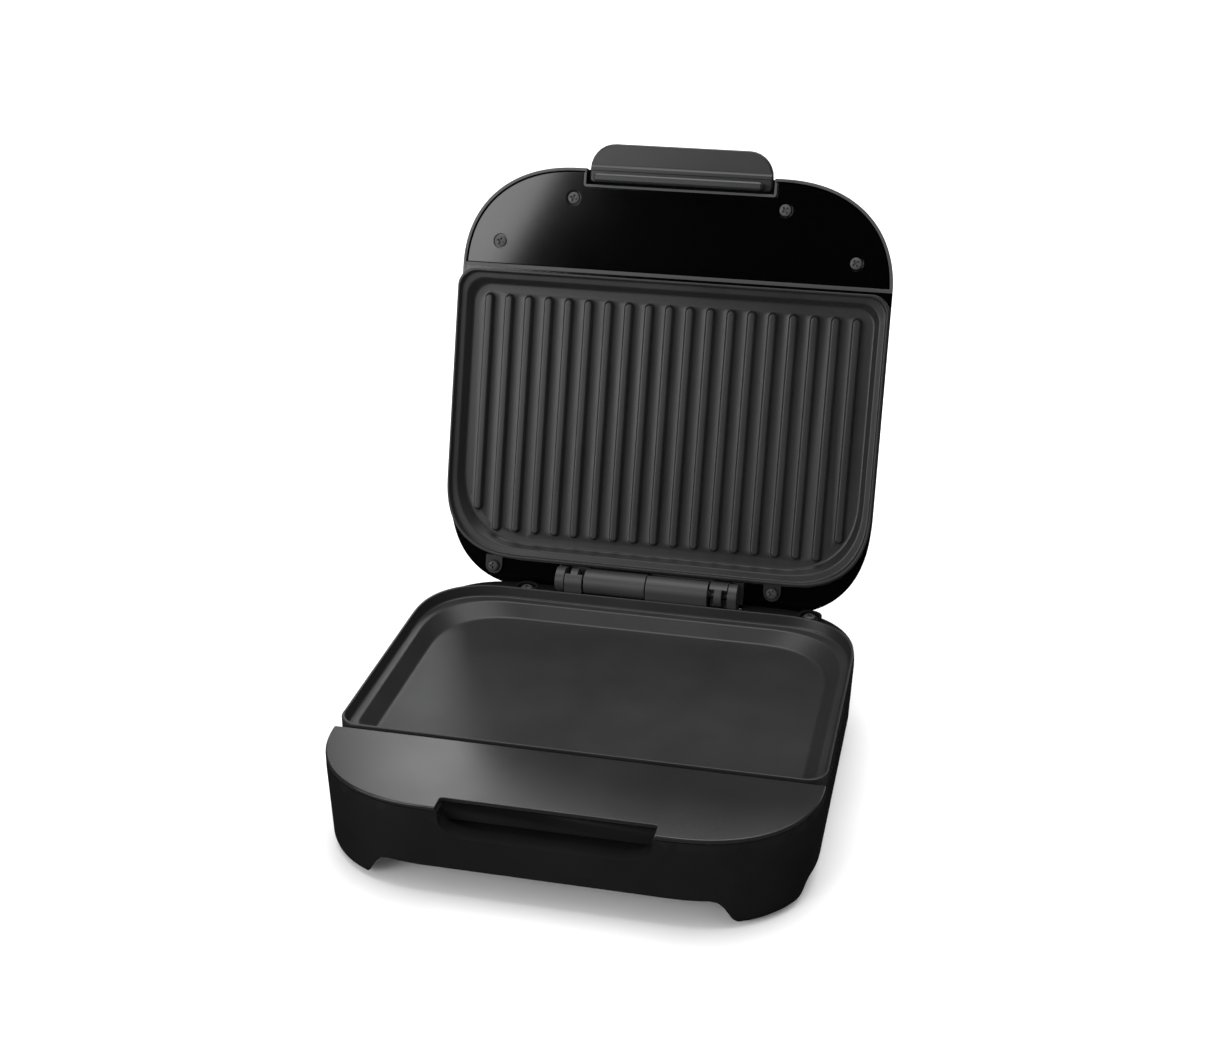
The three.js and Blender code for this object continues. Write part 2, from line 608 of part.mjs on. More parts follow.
// Bottom cover's plan and the names and places of its screws
const COVER_PLAN = {
  half: shellHalf - COVER_SIDE_INSET,
  front: plateFront + COVER_FRONT,
  rear: plateFront + COVER_FRONT + COVER_LENGTH,
  frontCorner: roundCorner(COVER_CORNER),
  rearCorner: roundCorner(COVER_CORNER),
};
const coverScrewX = COVER_PLAN.half - COVER_SCREW_INSET;
const COVER_SCREW_PLACES = [
  ["front_left", -coverScrewX, COVER_PLAN.front + COVER_SCREW_INSET],
  ["front_right", coverScrewX, COVER_PLAN.front + COVER_SCREW_INSET],
  ["rear_left", -coverScrewX, COVER_PLAN.rear - COVER_SCREW_INSET],
  ["rear_right", coverScrewX, COVER_PLAN.rear - COVER_SCREW_INSET],
];

// Cord gland's place: it stands square in the drafted rear wall.
const glandTilt = Math.atan(BASE_DRAFT_SHARE);
const glandZ = lipZ - GLAND_DROP;
const glandY = shellRear - BASE_DRAFT_SHARE * GLAND_DROP - WALL / 2;

// Raised deck on both sides of the hinge, outside the plate's frame. It is ramped up from the side lips
// and has a ring round each ear.
function rearPlatform() {
  const top = rimZ - PLATFORM_DEPTH;
  const low = lipZ - DECK / 2;
  const start = plateRear - PLATFORM_START;
  const rampSide = [
    new THREE.Vector2(start, low),
    new THREE.Vector2(shellRear + OVERRUN, low),
    new THREE.Vector2(shellRear + OVERRUN, top),
    new THREE.Vector2(start + PLATFORM_RAMP, top),
    new THREE.Vector2(start, lipZ),
  ];
  const wedge = prismAlongX(rampSide, -outside, outside);
  const body = wedge.intersect(prism(outlineOf(SHELL_PLAN), low, top));
  const frameRoom = prism(outlineOf(FRAME_PLAN, -CLEARANCE, 1), lipZ, top + OVERRUN);
  const inner = hingeHalf + PLATFORM_MARGIN;
  const hingeRoom = block(-inner, inner, start, shellRear + OVERRUN, lipZ, top + OVERRUN);
  const rings = EAR_XS.map((x) => rod(RING_RADIUS, x, earY, low, rimZ - RING_DEPTH, ROUND_SIDES));
  const earRooms = EAR_XS.map((x) =>
    prism(slot(x, plateRear - RING_RADIUS, earY + earRoom, earRoom, EAR_STEPS), lipZ, rimZ),
  );
  return cutBy(body.subtract(hingeRoom).add(joined(rings)), [frameRoom, ...earRooms]);
}

function baseShell() {
  const outer = tub(BASE_DRAFT_SHARE, footZ, boxTopZ, 0, FOOT_ROUNDING);
  const lowCavity = tub(BASE_DRAFT_SHARE, footZ + WALL, deckZ, WALL, FOOT_ROUNDING - WALL);
  const boxCavity = tub(BASE_DRAFT_SHARE, footZ + WALL, boxTopZ - DECK, WALL, FOOT_ROUNDING - WALL);
  const boxPart = frontOf(boxRear - WALL, footZ, boxTopZ);
  const keptSolid = [frontArch(WALL), sideArch(WALL), recess(WALL)];
  const cavity = cutBy(lowCavity.add(boxCavity.intersect(boxPart)), keptSolid);
  const hollow = outer.subtract(behind(boxRear, lipZ, boxTopZ + OVERRUN)).subtract(cavity);
  const coverBosses = COVER_SCREW_PLACES.map(([, x, y]) =>
    rod(COVER_BOSS_RADIUS, x, y, archZ + WALL / 2, floorZ + COVER_BOSS_LENGTH),
  );
  const serviceOpening = prism(outlineOf(COVER_PLAN, COVER_LAP, 1), archZ - OVERRUN, floorZ + OVERRUN);
  const coverBores = COVER_SCREW_PLACES.map(([, x, y]) =>
    rod(bore, x, y, archZ - OVERRUN, archZ + SCREW_LENGTH - COVER_THICKNESS + CLEARANCE),
  );
  const padPockets = FOOT_PLACES.map(([, sideX, sideY]) =>
    solePrism(sideX, sideY, PAD_MARGIN - CLEARANCE, footZ - OVERRUN, footZ + PAD_POCKET),
  );
  const neck = GLAND_NECK_RADIUS;
  const glandBore = rod(neck + CLEARANCE, 0, 0, -neck, neck, ROUND_SIDES);
  const glandTurn = new THREE.Matrix4().makeRotationX(RIGHT_ANGLE - glandTilt);
  glandTurn.setPosition(GLAND_X, glandY, glandZ);
  const body = joined([hollow, rearPlatform(), ...earBosses(), ...coverBosses]);
  return cutBy(body, [
    plateOpening(),
    frontArch(0),
    sideArch(0),
    recess(0),
    serviceOpening,
    ...coverBores,
    ...padPockets,
    ...deckBores(),
    glandBore.transform(glandTurn.toArray()),
  ]);
}

// Plan of a notch or of its liner, with round corners at its back.
function notchPlan(half, front, rear) {
  const corner = roundCorner(NOTCH_CORNER);
  return { half, front, rear, frontCorner: { ...corner, steps: 1 }, rearCorner: corner };
}

// Panel with a chamfered top edge, forward of a line, with a notch in its front.
function frontPanel(inset, rear, lowZ, highZ, notchHalf, notchBack) {
  const bodyRings = [
    ringAt(outlineOf(SHELL_PLAN, inset), lowZ),
    ringAt(outlineOf(SHELL_PLAN, inset), highZ - APRON_CHAMFER),
    ringAt(outlineOf(SHELL_PLAN, inset + APRON_CHAMFER), highZ),
  ];
  const low = lowZ - OVERRUN;
  const high = highZ + OVERRUN;
  const notch = outlineOf(notchPlan(notchHalf, shellFront - NOTCH_DEPTH, notchBack));
  return solid(loft(bodyRings)).intersect(frontOf(rear, low, high)).subtract(prism(notch, low, high));
}

const baseApron = () =>
  frontPanel(0, boxRear, apronZ - APRON_THICKNESS, apronZ, NOTCH_HALF, shellFront + NOTCH_DEPTH);

// Plate or pan from a profile of insets and depths below the rim: from its underside out, over its edge
// and in again.
const dished = (profile) =>
  solid(loft(profile.map(([inset, depth]) => ringAt(outlineOf(PLATE_PLAN, inset, 1), rimZ - depth))));

// Where a plate slopes at 45 degrees, the corners of its underside shift by this share of its thickness.
const SLOPE_SHIFT_SHARE = Math.tan(Math.PI / 8);
const slopeShift = PLATE_THICKNESS * SLOPE_SHIFT_SHARE;
const ledgeUnder = TRAY_LEDGE_DEPTH + PLATE_THICKNESS;
const skirtFoot = RIM_WIDTH + ledgeUnder - SKIRT_DEPTH;

const basePlate = () =>
  dished([
    [TRAY_FLOOR_INSET - slopeShift, TRAY_FLOOR_DEPTH + PLATE_THICKNESS],
    [TRAY_LEDGE_INSET - slopeShift, ledgeUnder],
    [skirtFoot, ledgeUnder],
    [RIM_WIDTH, SKIRT_DEPTH],
    [0, SKIRT_DEPTH],
    [0, 0],
    [RIM_WIDTH, 0],
    [TRAY_WALL_FOOT, TRAY_WALL_DEPTH],
    [TRAY_FILLET_INSET, TRAY_FILLET_DEPTH],
    [TRAY_LEDGE_INSET, TRAY_LEDGE_DEPTH],
    [TRAY_FLOOR_INSET - TRAY_FLOOR_FILLET, TRAY_FLOOR_DEPTH - TRAY_FLOOR_FILLET],
    [TRAY_FLOOR_INSET + TRAY_FLOOR_FILLET / 2, TRAY_FLOOR_DEPTH],
  ]);

// One rib of the lid plate, with sloping sides and round ends.
function rib(x, fromY, toY) {
  const floor = rimZ - GRILL_FLOOR_DEPTH;
  const footHalf = RIB_FOOT_WIDTH / 2;
  const topHalf = RIB_TOP_WIDTH / 2;
  const shoulderHalf = topHalf + (footHalf - topHalf) * (1 - RIB_SHOULDER_SHARE) * 2;
  const levels = [
    [footHalf, floor - RIB_HEIGHT * (1 - RIB_SHOULDER_SHARE)],
    [footHalf, floor],
    [shoulderHalf, floor + RIB_HEIGHT * RIB_SHOULDER_SHARE],
    [topHalf, floor + RIB_HEIGHT],
  ];
  return solid(
    loft(
      levels.map(([half, z]) => {
        const shrink = footHalf - half;
        return ringAt(slot(x, fromY + shrink, toY - shrink, half, RIB_END_STEPS), z);
      }),
    ),
  );
}

function lidPlate() {
  const dish = dished([
    [GRILL_FLOOR_INSET, GRILL_FLOOR_DEPTH + PLATE_THICKNESS],
    [GRILL_LEDGE_INSET - slopeShift, GRILL_LEDGE_DEPTH + PLATE_THICKNESS],
    [SKIRT_THICKNESS, GRILL_LEDGE_DEPTH + PLATE_THICKNESS],
    [SKIRT_THICKNESS, SKIRT_DEPTH],
    [0, SKIRT_DEPTH],
    [0, 0],
    [RIM_WIDTH, 0],
    [GRILL_WALL_INSET, GRILL_WALL_DEPTH],
    [GRILL_LEDGE_INSET, GRILL_LEDGE_DEPTH],
    [GRILL_SLOPE_INSET, GRILL_SLOPE_DEPTH],
    [GRILL_FLOOR_INSET, GRILL_FLOOR_DEPTH],
  ]);
  const middle = (RIB_COUNT - 1) / 2;
  const pitch = (PLATE_PLAN.half - RIB_SIDE_INSET) / middle;
  const ribs = Array.from({ length: RIB_COUNT }, (_, k) => {
    const outermost = k === 0 || k === RIB_COUNT - 1;
    const rear = plateRear - (outermost ? RIB_CORNER_MARGIN : RIB_REAR_MARGIN);
    return rib((k - middle) * pitch, plateFront + RIB_FRONT_MARGIN, rear);
  });
  return joined([dish, ...ribs]);
}

// Frame that carries a plate: a flange on the shell's lip, a collar down into its opening, and two screw
// ears that can stand raised on the rings of the base's deck.
function plateFrame(earLift) {
  const collarInner = COLLAR_INSET + COLLAR_THICKNESS;
  const flat = FLANGE_FLAT;
  const collarTop = flangeTopZ - (collarInner - CLEARANCE - flat);
  const level = (inset, z) => ringAt(outlineOf(PLATE_PLAN, inset, 1), z);
  const ring = solid(
    loft(
      [
        ringAt(outlineOf(FRAME_PLAN), flangeZ),
        ringAt(outlineOf(FRAME_PLAN), flangeTopZ),
        level(flat, flangeTopZ),
        level(collarInner - CLEARANCE, collarTop),
        level(collarInner, collarTop),
        level(collarInner, collarZ),
        level(COLLAR_INSET, collarZ),
        level(COLLAR_INSET, flangeZ),
      ],
      true,
    ),
  );
  const earTopZ = flangeTopZ + earLift;
  const behindPlate = behind(plateRear + CLEARANCE, flangeZ, earTopZ);
  const ears = EAR_XS.map((x) => {
    const tab = slot(x, plateRear - EAR_RADIUS, earY + EAR_RADIUS, EAR_RADIUS, EAR_STEPS);
    return prism(tab, flangeZ, earTopZ).intersect(behindPlate);
  });
  const bores = EAR_XS.map((x) => rod(bore, x, earY, flangeZ - OVERRUN, earTopZ + OVERRUN));
  return cutBy(joined([ring, ...ears]), bores);
}

// Bright sheet pan that hangs under the frame's collar and throws the heat back.
function reflector(depth) {
  const flangeDepth = COLLAR_DEPTH + CLEARANCE;
  return dished([
    [REFLECTOR_WALL_INSET, depth + REFLECTOR_SHEET],
    [REFLECTOR_WALL_INSET, flangeDepth + REFLECTOR_SHEET],
    [REFLECTOR_FLANGE_INSET, flangeDepth + REFLECTOR_SHEET],
    [REFLECTOR_FLANGE_INSET, flangeDepth],
    [REFLECTOR_WALL_INSET + REFLECTOR_SHEET, flangeDepth],
    [REFLECTOR_WALL_INSET + REFLECTOR_SHEET, depth],
  ]);
}

// Bent tube heater against the underside of a plate's floor.
function heater(underZ) {
  const z = underZ - CLEARANCE - HEATER_RADIUS;
  const half = PLATE_WIDTH / 2 - HEATER_INSET;
  const front = plateFront + HEATER_INSET;
  const rear = plateRear - HEATER_REAR_INSET;
  const corners = [
    [-HEATER_TAIL, rear],
    [-half, rear],
    [-half, front],
    [half, front],
    [half, rear],
    [HEATER_TAIL, rear],
  ].map(([x, y]) => new THREE.Vector3(x, y, z));
  const path = new THREE.CurvePath();
  let from = corners[0];
  for (let k = 1; k < corners.length - 1; k++) {
    const towards = (point) => point.clone().sub(corners[k]).setLength(HEATER_BEND).add(corners[k]);
    const enter = towards(corners[k - 1]);
    const leave = towards(corners[k + 1]);
    path.add(new THREE.LineCurve3(from, enter));
    path.add(new THREE.QuadraticBezierCurve3(enter, corners[k], leave));
    from = leave;
  }
  path.add(new THREE.LineCurve3(from, corners.at(-1)));
  const section = new THREE.Shape(arc(0, 0, HEATER_RADIUS, 0, 2 * Math.PI, HEATER_SIDES).slice(1));
  return new THREE.ExtrudeGeometry(section, { steps: HEATER_STEPS, extrudePath: path });
}

// Side outline of a barrel with its web down to the hinge's plate.
function webOutline() {
  const front = plateRear + FLANGE_REACH + CLEARANCE;
  const low = flangeZ + HINGE_PLATE_THICKNESS / 2;
  const over = arc(0, 0, BARREL_RADIUS, 0, Math.PI, BARREL_SIDES / 2);
  return [
    new THREE.Vector2(front, low),
    new THREE.Vector2(WEB_REAR, low),
    new THREE.Vector2(BARREL_RADIUS, 0),
    ...over.slice(1, -1),
    new THREE.Vector2(-BARREL_RADIUS, 0),
  ];
}

// Hinge bracket of one half: plate, long barrel, short knuckle with a narrow stem, and end cheek.
function hingeBracket() {
  const front = plateRear + FLANGE_REACH + CLEARANCE;
  const plateTopZ = flangeZ + HINGE_PLATE_THICKNESS;
  const plate = block(-hingeHalf, hingeHalf, front, HINGE_PLATE_REAR, flangeZ, plateTopZ);
  const stretch = (from, to) => prismAlongX(webOutline(), from, to);
  const shoulder = THREE.MathUtils.degToRad(KNUCKLE_SHOULDER_ANGLE);
  const high = BARREL_RADIUS + OVERRUN;
  const shoulderZ = BARREL_RADIUS * Math.sin(shoulder);
  const knuckleMiddle = -(KNUCKLE_START + KNUCKLE_END) / 2;
  const overTop = [
    new THREE.Vector2(-high, shoulderZ),
    new THREE.Vector2(-BARREL_RADIUS * Math.cos(shoulder), shoulderZ),
    new THREE.Vector2(0, 0),
    new THREE.Vector2(high, 0),
    new THREE.Vector2(high, high),
    new THREE.Vector2(-high, high),
  ];
  const stem = stretch(knuckleMiddle - KNUCKLE_STEM / 2, knuckleMiddle + KNUCKLE_STEM / 2);
  const knuckle = stretch(-KNUCKLE_END, -KNUCKLE_START)
    .subtract(prismAlongX(overTop, -KNUCKLE_END - OVERRUN, -KNUCKLE_START + OVERRUN))
    .add(stem);
  const body = joined([plate, stretch(BARREL_START, BARREL_END), knuckle, stretch(CHEEK_START, CHEEK_END)]);
  const boreRadius = PIN_RADIUS + CLEARANCE;
  const screwTop = lipZ + CLEARANCE + HINGE_SCREW_BITE + CLEARANCE;
  return cutBy(body, [
    rodAlongX(boreRadius, -KNUCKLE_END - OVERRUN, CHEEK_END - PIN_CAP),
    ...HINGE_SCREW_XS.map((x) => rod(bore, x, HINGE_SCREW_Y, lipZ - OVERRUN, screwTop)),
  ]);
}

function hingePin() {
  const half = CHEEK_END - PIN_CAP - CLEARANCE;
  return rodAlongX(PIN_RADIUS, -half, half);
}

// Pan-head screw with its seat at the origin and its shank along -Z.
function screwGeometry(length, headHeight = SCREW_HEAD_HEIGHT) {
  const crown = SCREW_HEAD_RADIUS * SCREW_CROWN_SHARE;
  return turned(
    [
      [0, -length],
      [SCREW_SHANK_RADIUS, -length],
      [SCREW_SHANK_RADIUS, 0],
      [SCREW_HEAD_RADIUS, 0],
      [SCREW_HEAD_RADIUS, headHeight / 2],
      [crown, headHeight],
      [0, headHeight],
    ],
    SCREW_SIDES,
  );
}

function thermostatGeometry() {
  const low = -THERMOSTAT_HEIGHT - THERMOSTAT_CAP_HEIGHT;
  return turned(
    [
      [0, low],
      [THERMOSTAT_CAP_RADIUS, low],
      [THERMOSTAT_CAP_RADIUS, -THERMOSTAT_HEIGHT],
      [THERMOSTAT_RADIUS, -THERMOSTAT_HEIGHT],
      [THERMOSTAT_RADIUS, 0],
      [0, 0],
    ],
    ROUND_SIDES,
  );
}

// Thermal fuse, a small can that lies along Y under its plate.
function fuseGeometry() {
  const half = FUSE_LENGTH / 2;
  const cap = FUSE_RADIUS * FUSE_CAP_SHARE;
  return turned(
    [
      [0, -half],
      [cap, -half],
      [FUSE_RADIUS, -half + cap],
      [FUSE_RADIUS, half - cap],
      [cap, half],
      [0, half],
    ],
    LAMP_SIDES,
  ).rotateX(RIGHT_ANGLE);
}

function terminalBlock() {
  const y = shellRear - TERMINAL_SETBACK;
  const low = floorZ + CLEARANCE;
  const high = low + TERMINAL_HEIGHT;
  const halfX = TERMINAL_WIDTH / 2;
  const halfY = TERMINAL_DEPTH / 2;
  const body = block(-halfX, halfX, y - halfY, y + halfY, low, high);
  const pitch = TERMINAL_WIDTH / TERMINAL_POLES;
  const wells = Array.from({ length: TERMINAL_POLES }, (_, k) => {
    const x = (k - (TERMINAL_POLES - 1) / 2) * pitch;
    return rod(TERMINAL_WELL_RADIUS, x, y, high - TERMINAL_WELL_DEPTH, high + OVERRUN, LAMP_SIDES);
  });
  return cutBy(body, wells);
}

function bottomCover() {
  const high = archZ - CLEARANCE;
  const low = high - COVER_THICKNESS;
  const panel = prism(outlineOf(COVER_PLAN), low, high);
  const middleY = (COVER_PLAN.front + COVER_PLAN.rear) / 2;
  const vents = [-1, 1].flatMap((row) =>
    Array.from({ length: VENT_COUNT }, (_, k) => {
      const x = (k - (VENT_COUNT - 1) / 2) * VENT_PITCH;
      const y = middleY + row * VENT_OFFSET;
      const outline = slot(x, y - VENT_LENGTH / 2, y + VENT_LENGTH / 2, VENT_WIDTH / 2, SMALL_CORNER_STEPS);
      return prism(outline, low - OVERRUN, high + OVERRUN);
    }),
  );
  const bores = COVER_SCREW_PLACES.map(([, x, y]) => rod(bore, x, y, low - OVERRUN, high + OVERRUN));
  return cutBy(panel, [...vents, ...bores]);
}

// Foot pad that follows its foot's sole, its top in the shell's pocket.
function footPad(sideX, sideY) {
  const top = footZ + PAD_POCKET - CLEARANCE;
  return solePrism(sideX, sideY, PAD_MARGIN, top - PAD_THICKNESS, top);
}

// Grommet about the origin: a neck through the wall between two flanges, open along its axis.
function glandGeometry() {
  const seat = WALL / 2 + CLEARANCE;
  const end = seat + GLAND_FLANGE;
  return turned(
    [
      [GLAND_BORE_RADIUS, -end],
      [GLAND_FLANGE_RADIUS, -end],
      [GLAND_FLANGE_RADIUS, -seat],
      [GLAND_NECK_RADIUS, -seat],
      [GLAND_NECK_RADIUS, seat],
      [GLAND_FLANGE_RADIUS, seat],
      [GLAND_FLANGE_RADIUS, end],
      [GLAND_BORE_RADIUS, end],
      [GLAND_BORE_RADIUS, -end],
    ],
    ROUND_SIDES,
  );
}

// Places of the lid's bezel screws, handle screws and lamps
const [innerScrewX, outerScrewX] = BEZEL_SCREW_INSETS.map((inset) => shellHalf - inset);
const [innerScrewY, outerScrewY] = BEZEL_SCREW_Y.map((reach) => plateFront - reach);
const BEZEL_SCREW_PLACES = [
  ["outer_left", -outerScrewX, outerScrewY],
  ["inner_left", -innerScrewX, innerScrewY],
  ["inner_right", innerScrewX, innerScrewY],
  ["outer_right", outerScrewX, outerScrewY],
];
const handleY = shellFront + HANDLE_SCREW_Y;
const pocketHalf = HANDLE_HALF + HANDLE_SIDE_GAP;
const pocketBack = shellFront + HANDLE_BACK + HANDLE_REAR_GAP;
const tabZ = lipZ - HANDLE_DROP;
const pocketFloorZ = tabZ - HANDLE_THICKNESS - CLEARANCE;
const barY = plateFront - BAR_FRONT;
const LAMP_XS = [-LAMP_X, LAMP_X];
const lampY = plateFront - LAMP_Y;

function lidShell() {
  const outer = tub(LID_DRAFT_SHARE, roofZ, lipZ, 0, ROOF_ROUNDING);
  const inner = tub(LID_DRAFT_SHARE, roofZ + WALL, deckZ, WALL, ROOF_ROUNDING - WALL);
  const bezelSeat = prism(outlineOf(SHELL_PLAN, BEZEL_LIP), bezelZ - CLEARANCE, lipZ + OVERRUN);
  const bezelOpening = bezelSeat.intersect(frontOf(barY, bezelZ - CLEARANCE - OVERRUN, lipZ + OVERRUN));
  const bosses = BEZEL_SCREW_PLACES.map(([, x, y]) =>
    rod(BEZEL_BOSS_RADIUS, x, y, roofZ + WALL / 2, bezelZ - CLEARANCE),
  );
  const bossBores = BEZEL_SCREW_PLACES.map(([, x, y]) =>
    rod(bore, x, y, bezelZ - SCREW_LENGTH - CLEARANCE, bezelZ + OVERRUN),
  );
  const wall = HANDLE_POCKET_WALL;
  const linerPlan = notchPlan(pocketHalf + wall, shellFront + WALL / 2, pocketBack + wall);
  const liner = prism(outlineOf(linerPlan), pocketFloorZ - wall, lipZ);
  const mouth = shellFront - OVERRUN;
  const pocket = block(-pocketHalf, pocketHalf, mouth, pocketBack, pocketFloorZ, lipZ + OVERRUN);
  const handleBores = [-1, 1].map((side) =>
    rod(bore, side * HANDLE_SCREW_X, handleY, pocketFloorZ - wall - OVERRUN, pocketFloorZ + OVERRUN),
  );
  const reliefTop = pocketFloorZ - wall;
  const headRoom = SCREW_HEAD_RADIUS + CLEARANCE;
  const reliefs = [-1, 1].map((side) =>
    rod(headRoom, side * HANDLE_SCREW_X, handleY, reliefTop - HANDLE_SCREW_RELIEF, reliefTop),
  );
  const lampBores = LAMP_XS.map((x) =>
    rod(LENS_RADIUS + CLEARANCE, x, lampY, roofZ - OVERRUN, roofZ + WALL + OVERRUN, ROUND_SIDES),
  );
  const hollow = outer.subtract(inner).subtract(plateOpening()).subtract(bezelOpening);
  const lined = liner.intersect(outer);
  const body = joined([hollow, ...earBosses(), ...bosses, lined]);
  return cutBy(body, [pocket, ...bossBores, ...handleBores, ...reliefs, ...lampBores, ...deckBores()]);
}

function lidBezel() {
  const wall = HANDLE_POCKET_WALL + CLEARANCE;
  const inset = BEZEL_LIP + CLEARANCE;
  const rear = barY - CLEARANCE;
  const panel = frontPanel(inset, rear, bezelZ, bezelTopZ, pocketHalf + wall, pocketBack + wall);
  const wells = BEZEL_SCREW_PLACES.map(([, x, y]) =>
    rod(BEZEL_WELL_RADIUS, x, y, bezelTopZ - BEZEL_WELL_DEPTH, bezelTopZ + OVERRUN, ROUND_SIDES),
  );
  const bores = BEZEL_SCREW_PLACES.map(([, x, y]) => rod(bore, x, y, bezelZ - OVERRUN, bezelTopZ + OVERRUN));
  return cutBy(panel, [...wells, ...bores]);
}

// Ridge across the root of the handle's tab, filleted towards the tab's tip.
function handleRidge() {
  const front = shellFront + RIDGE_FRONT;
  const rear = shellFront + RIDGE_REAR;
  const under = tabZ - HANDLE_EDGE;
  const side = [
    new THREE.Vector2(front - RIDGE_FILLET, under),
    new THREE.Vector2(rear, under),
    new THREE.Vector2(rear, tabZ + RIDGE_HEIGHT),
    new THREE.Vector2(front, tabZ + RIDGE_HEIGHT),
    new THREE.Vector2(front - RIDGE_FILLET / 2, tabZ + RIDGE_HEIGHT / 3),
    new THREE.Vector2(front - RIDGE_FILLET, tabZ),
  ];
  const half = HANDLE_HALF - RIDGE_END_INSET;
  return prismAlongX(side, -half, half);
}

// Lip of the handle, drafted and with a chamfered edge.
function handleLip() {
  const top = lipZ + HANDLE_LIP_HEIGHT;
  const corner = roundCorner(HANDLE_LIP_CORNER + HANDLE_LIP_DRAFT + HANDLE_LIP_CHAMFER);
  const plan = {
    half: HANDLE_HALF - HANDLE_LIP_INSET,
    front: shellFront + HANDLE_LIP_FRONT,
    rear: shellFront + HANDLE_BACK,
    frontCorner: corner,
    rearCorner: corner,
  };
  const rings = [
    ringAt(outlineOf(plan), tabZ - HANDLE_EDGE),
    ringAt(outlineOf(plan, HANDLE_LIP_DRAFT), top - HANDLE_LIP_CHAMFER),
    ringAt(outlineOf(plan, HANDLE_LIP_DRAFT + HANDLE_LIP_CHAMFER), top),
  ];
  return solid(loft(rings));
}

// Handle: a flat tab with round front corners and softened edges, its ridge and its lip.
function lidHandle() {
  const plan = {
    half: HANDLE_HALF,
    front: shellFront - HANDLE_REACH,
    rear: shellFront + HANDLE_BACK,
    frontCorner: largeCorner(HANDLE_CORNER, HANDLE_CORNER, ROUND_POWER),
    rearCorner: roundCorner(HANDLE_ROOT_CORNER),
  };
  const low = tabZ - HANDLE_THICKNESS;
  const edge = (turn) => HANDLE_EDGE * (1 - Math.sin(turn));
  const rise = (turn) => HANDLE_EDGE * (1 - Math.cos(turn));
  const steps = ROUNDING_STEPS;
  const turns = Array.from({ length: steps + 1 }, (_, k) => (k / steps) * RIGHT_ANGLE);
  const rings = [
    ...turns.map((turn) => ringAt(outlineOf(plan, edge(turn)), low + rise(turn))),
    ...turns.reverse().map((turn) => ringAt(outlineOf(plan, edge(turn)), tabZ - rise(turn))),
  ];
  const bores = [-1, 1].map((side) =>
    rod(bore, side * HANDLE_SCREW_X, handleY, low - OVERRUN, low + HANDLE_SCREW_BITE + CLEARANCE),
  );
  return cutBy(joined([solid(loft(rings)), handleRidge(), handleLip()]), bores);
}

// Lens with its head outside the roof and a blind bore for its lamp.
function lensGeometry() {
  const inner = LAMP_RADIUS + CLEARANCE;
  const top = LENS_HEAD_HEIGHT + LENS_SHANK_LENGTH;
  return turned(
    [
      [0, 0],
      [LENS_HEAD_RADIUS, 0],
      [LENS_HEAD_RADIUS, LENS_HEAD_HEIGHT],
      [LENS_RADIUS, LENS_HEAD_HEIGHT],
      [LENS_RADIUS, top],
      [inner, top],
      [inner, top - LENS_BORE_DEPTH],
      [0, top - LENS_BORE_DEPTH],
    ],
    ROUND_SIDES,
  );
}

function lampGeometry() {
  return turned(
    [
      [0, 0],
      [LAMP_RADIUS / 2, 0],
      [LAMP_RADIUS, LAMP_RADIUS / 2],
      [LAMP_RADIUS, LAMP_LENGTH],
      [0, LAMP_LENGTH],
    ],
    LAMP_SIDES,
  );
}

// Adds a named mesh to a group. A solid is turned into a geometry first.
function addPiece(group, name, shape, material, position = [0, 0, 0]) {
  const mesh = new THREE.Mesh(shape.isBufferGeometry ? shape : geometryOf(shape), material);
  mesh.name = name;
  mesh.position.set(...position);
  group.add(mesh);
  return mesh;
}

// Pieces that both halves have, drawn alike in the half frame.
function addCommonPieces(group, half, underZ, reflectorDepth) {
  const lift = half === "base" ? RAISED_EAR_HEIGHT : 0;
  addPiece(group, half + "_frame", plateFrame(lift), framePaint);
  addPiece(group, half + "_reflector", reflector(reflectorDepth), brightSheet);
  addPiece(group, half + "_heater", heater(underZ), heaterSheath);
  addPiece(group, half + "_hinge", hingeBracket(), hingePaint);
  const fuseZ = underZ - CLEARANCE - FUSE_RADIUS;
  addPiece(group, half + "_thermal_fuse", fuseGeometry(), brightSheet, [FUSE_OFFSET, plateMiddle, fuseZ]);
  ["left", "right"].forEach((side, k) => {
    const seat = [EAR_XS[k], earY, flangeTopZ + lift + CLEARANCE];
    addPiece(group, half + "_frame_screw_" + side, screwGeometry(SCREW_LENGTH + lift), steel, seat);
  });
  ["barrel", "knuckle"].forEach((place, k) => {
    const seat = [HINGE_SCREW_XS[k], HINGE_SCREW_Y, deckZ - CLEARANCE];
    const length = DECK + CLEARANCE + CLEARANCE + HINGE_SCREW_BITE;
    const screw = addPiece(group, half + "_hinge_screw_" + place, screwGeometry(length), steel, seat);
    screw.rotation.x = Math.PI;
  });
}

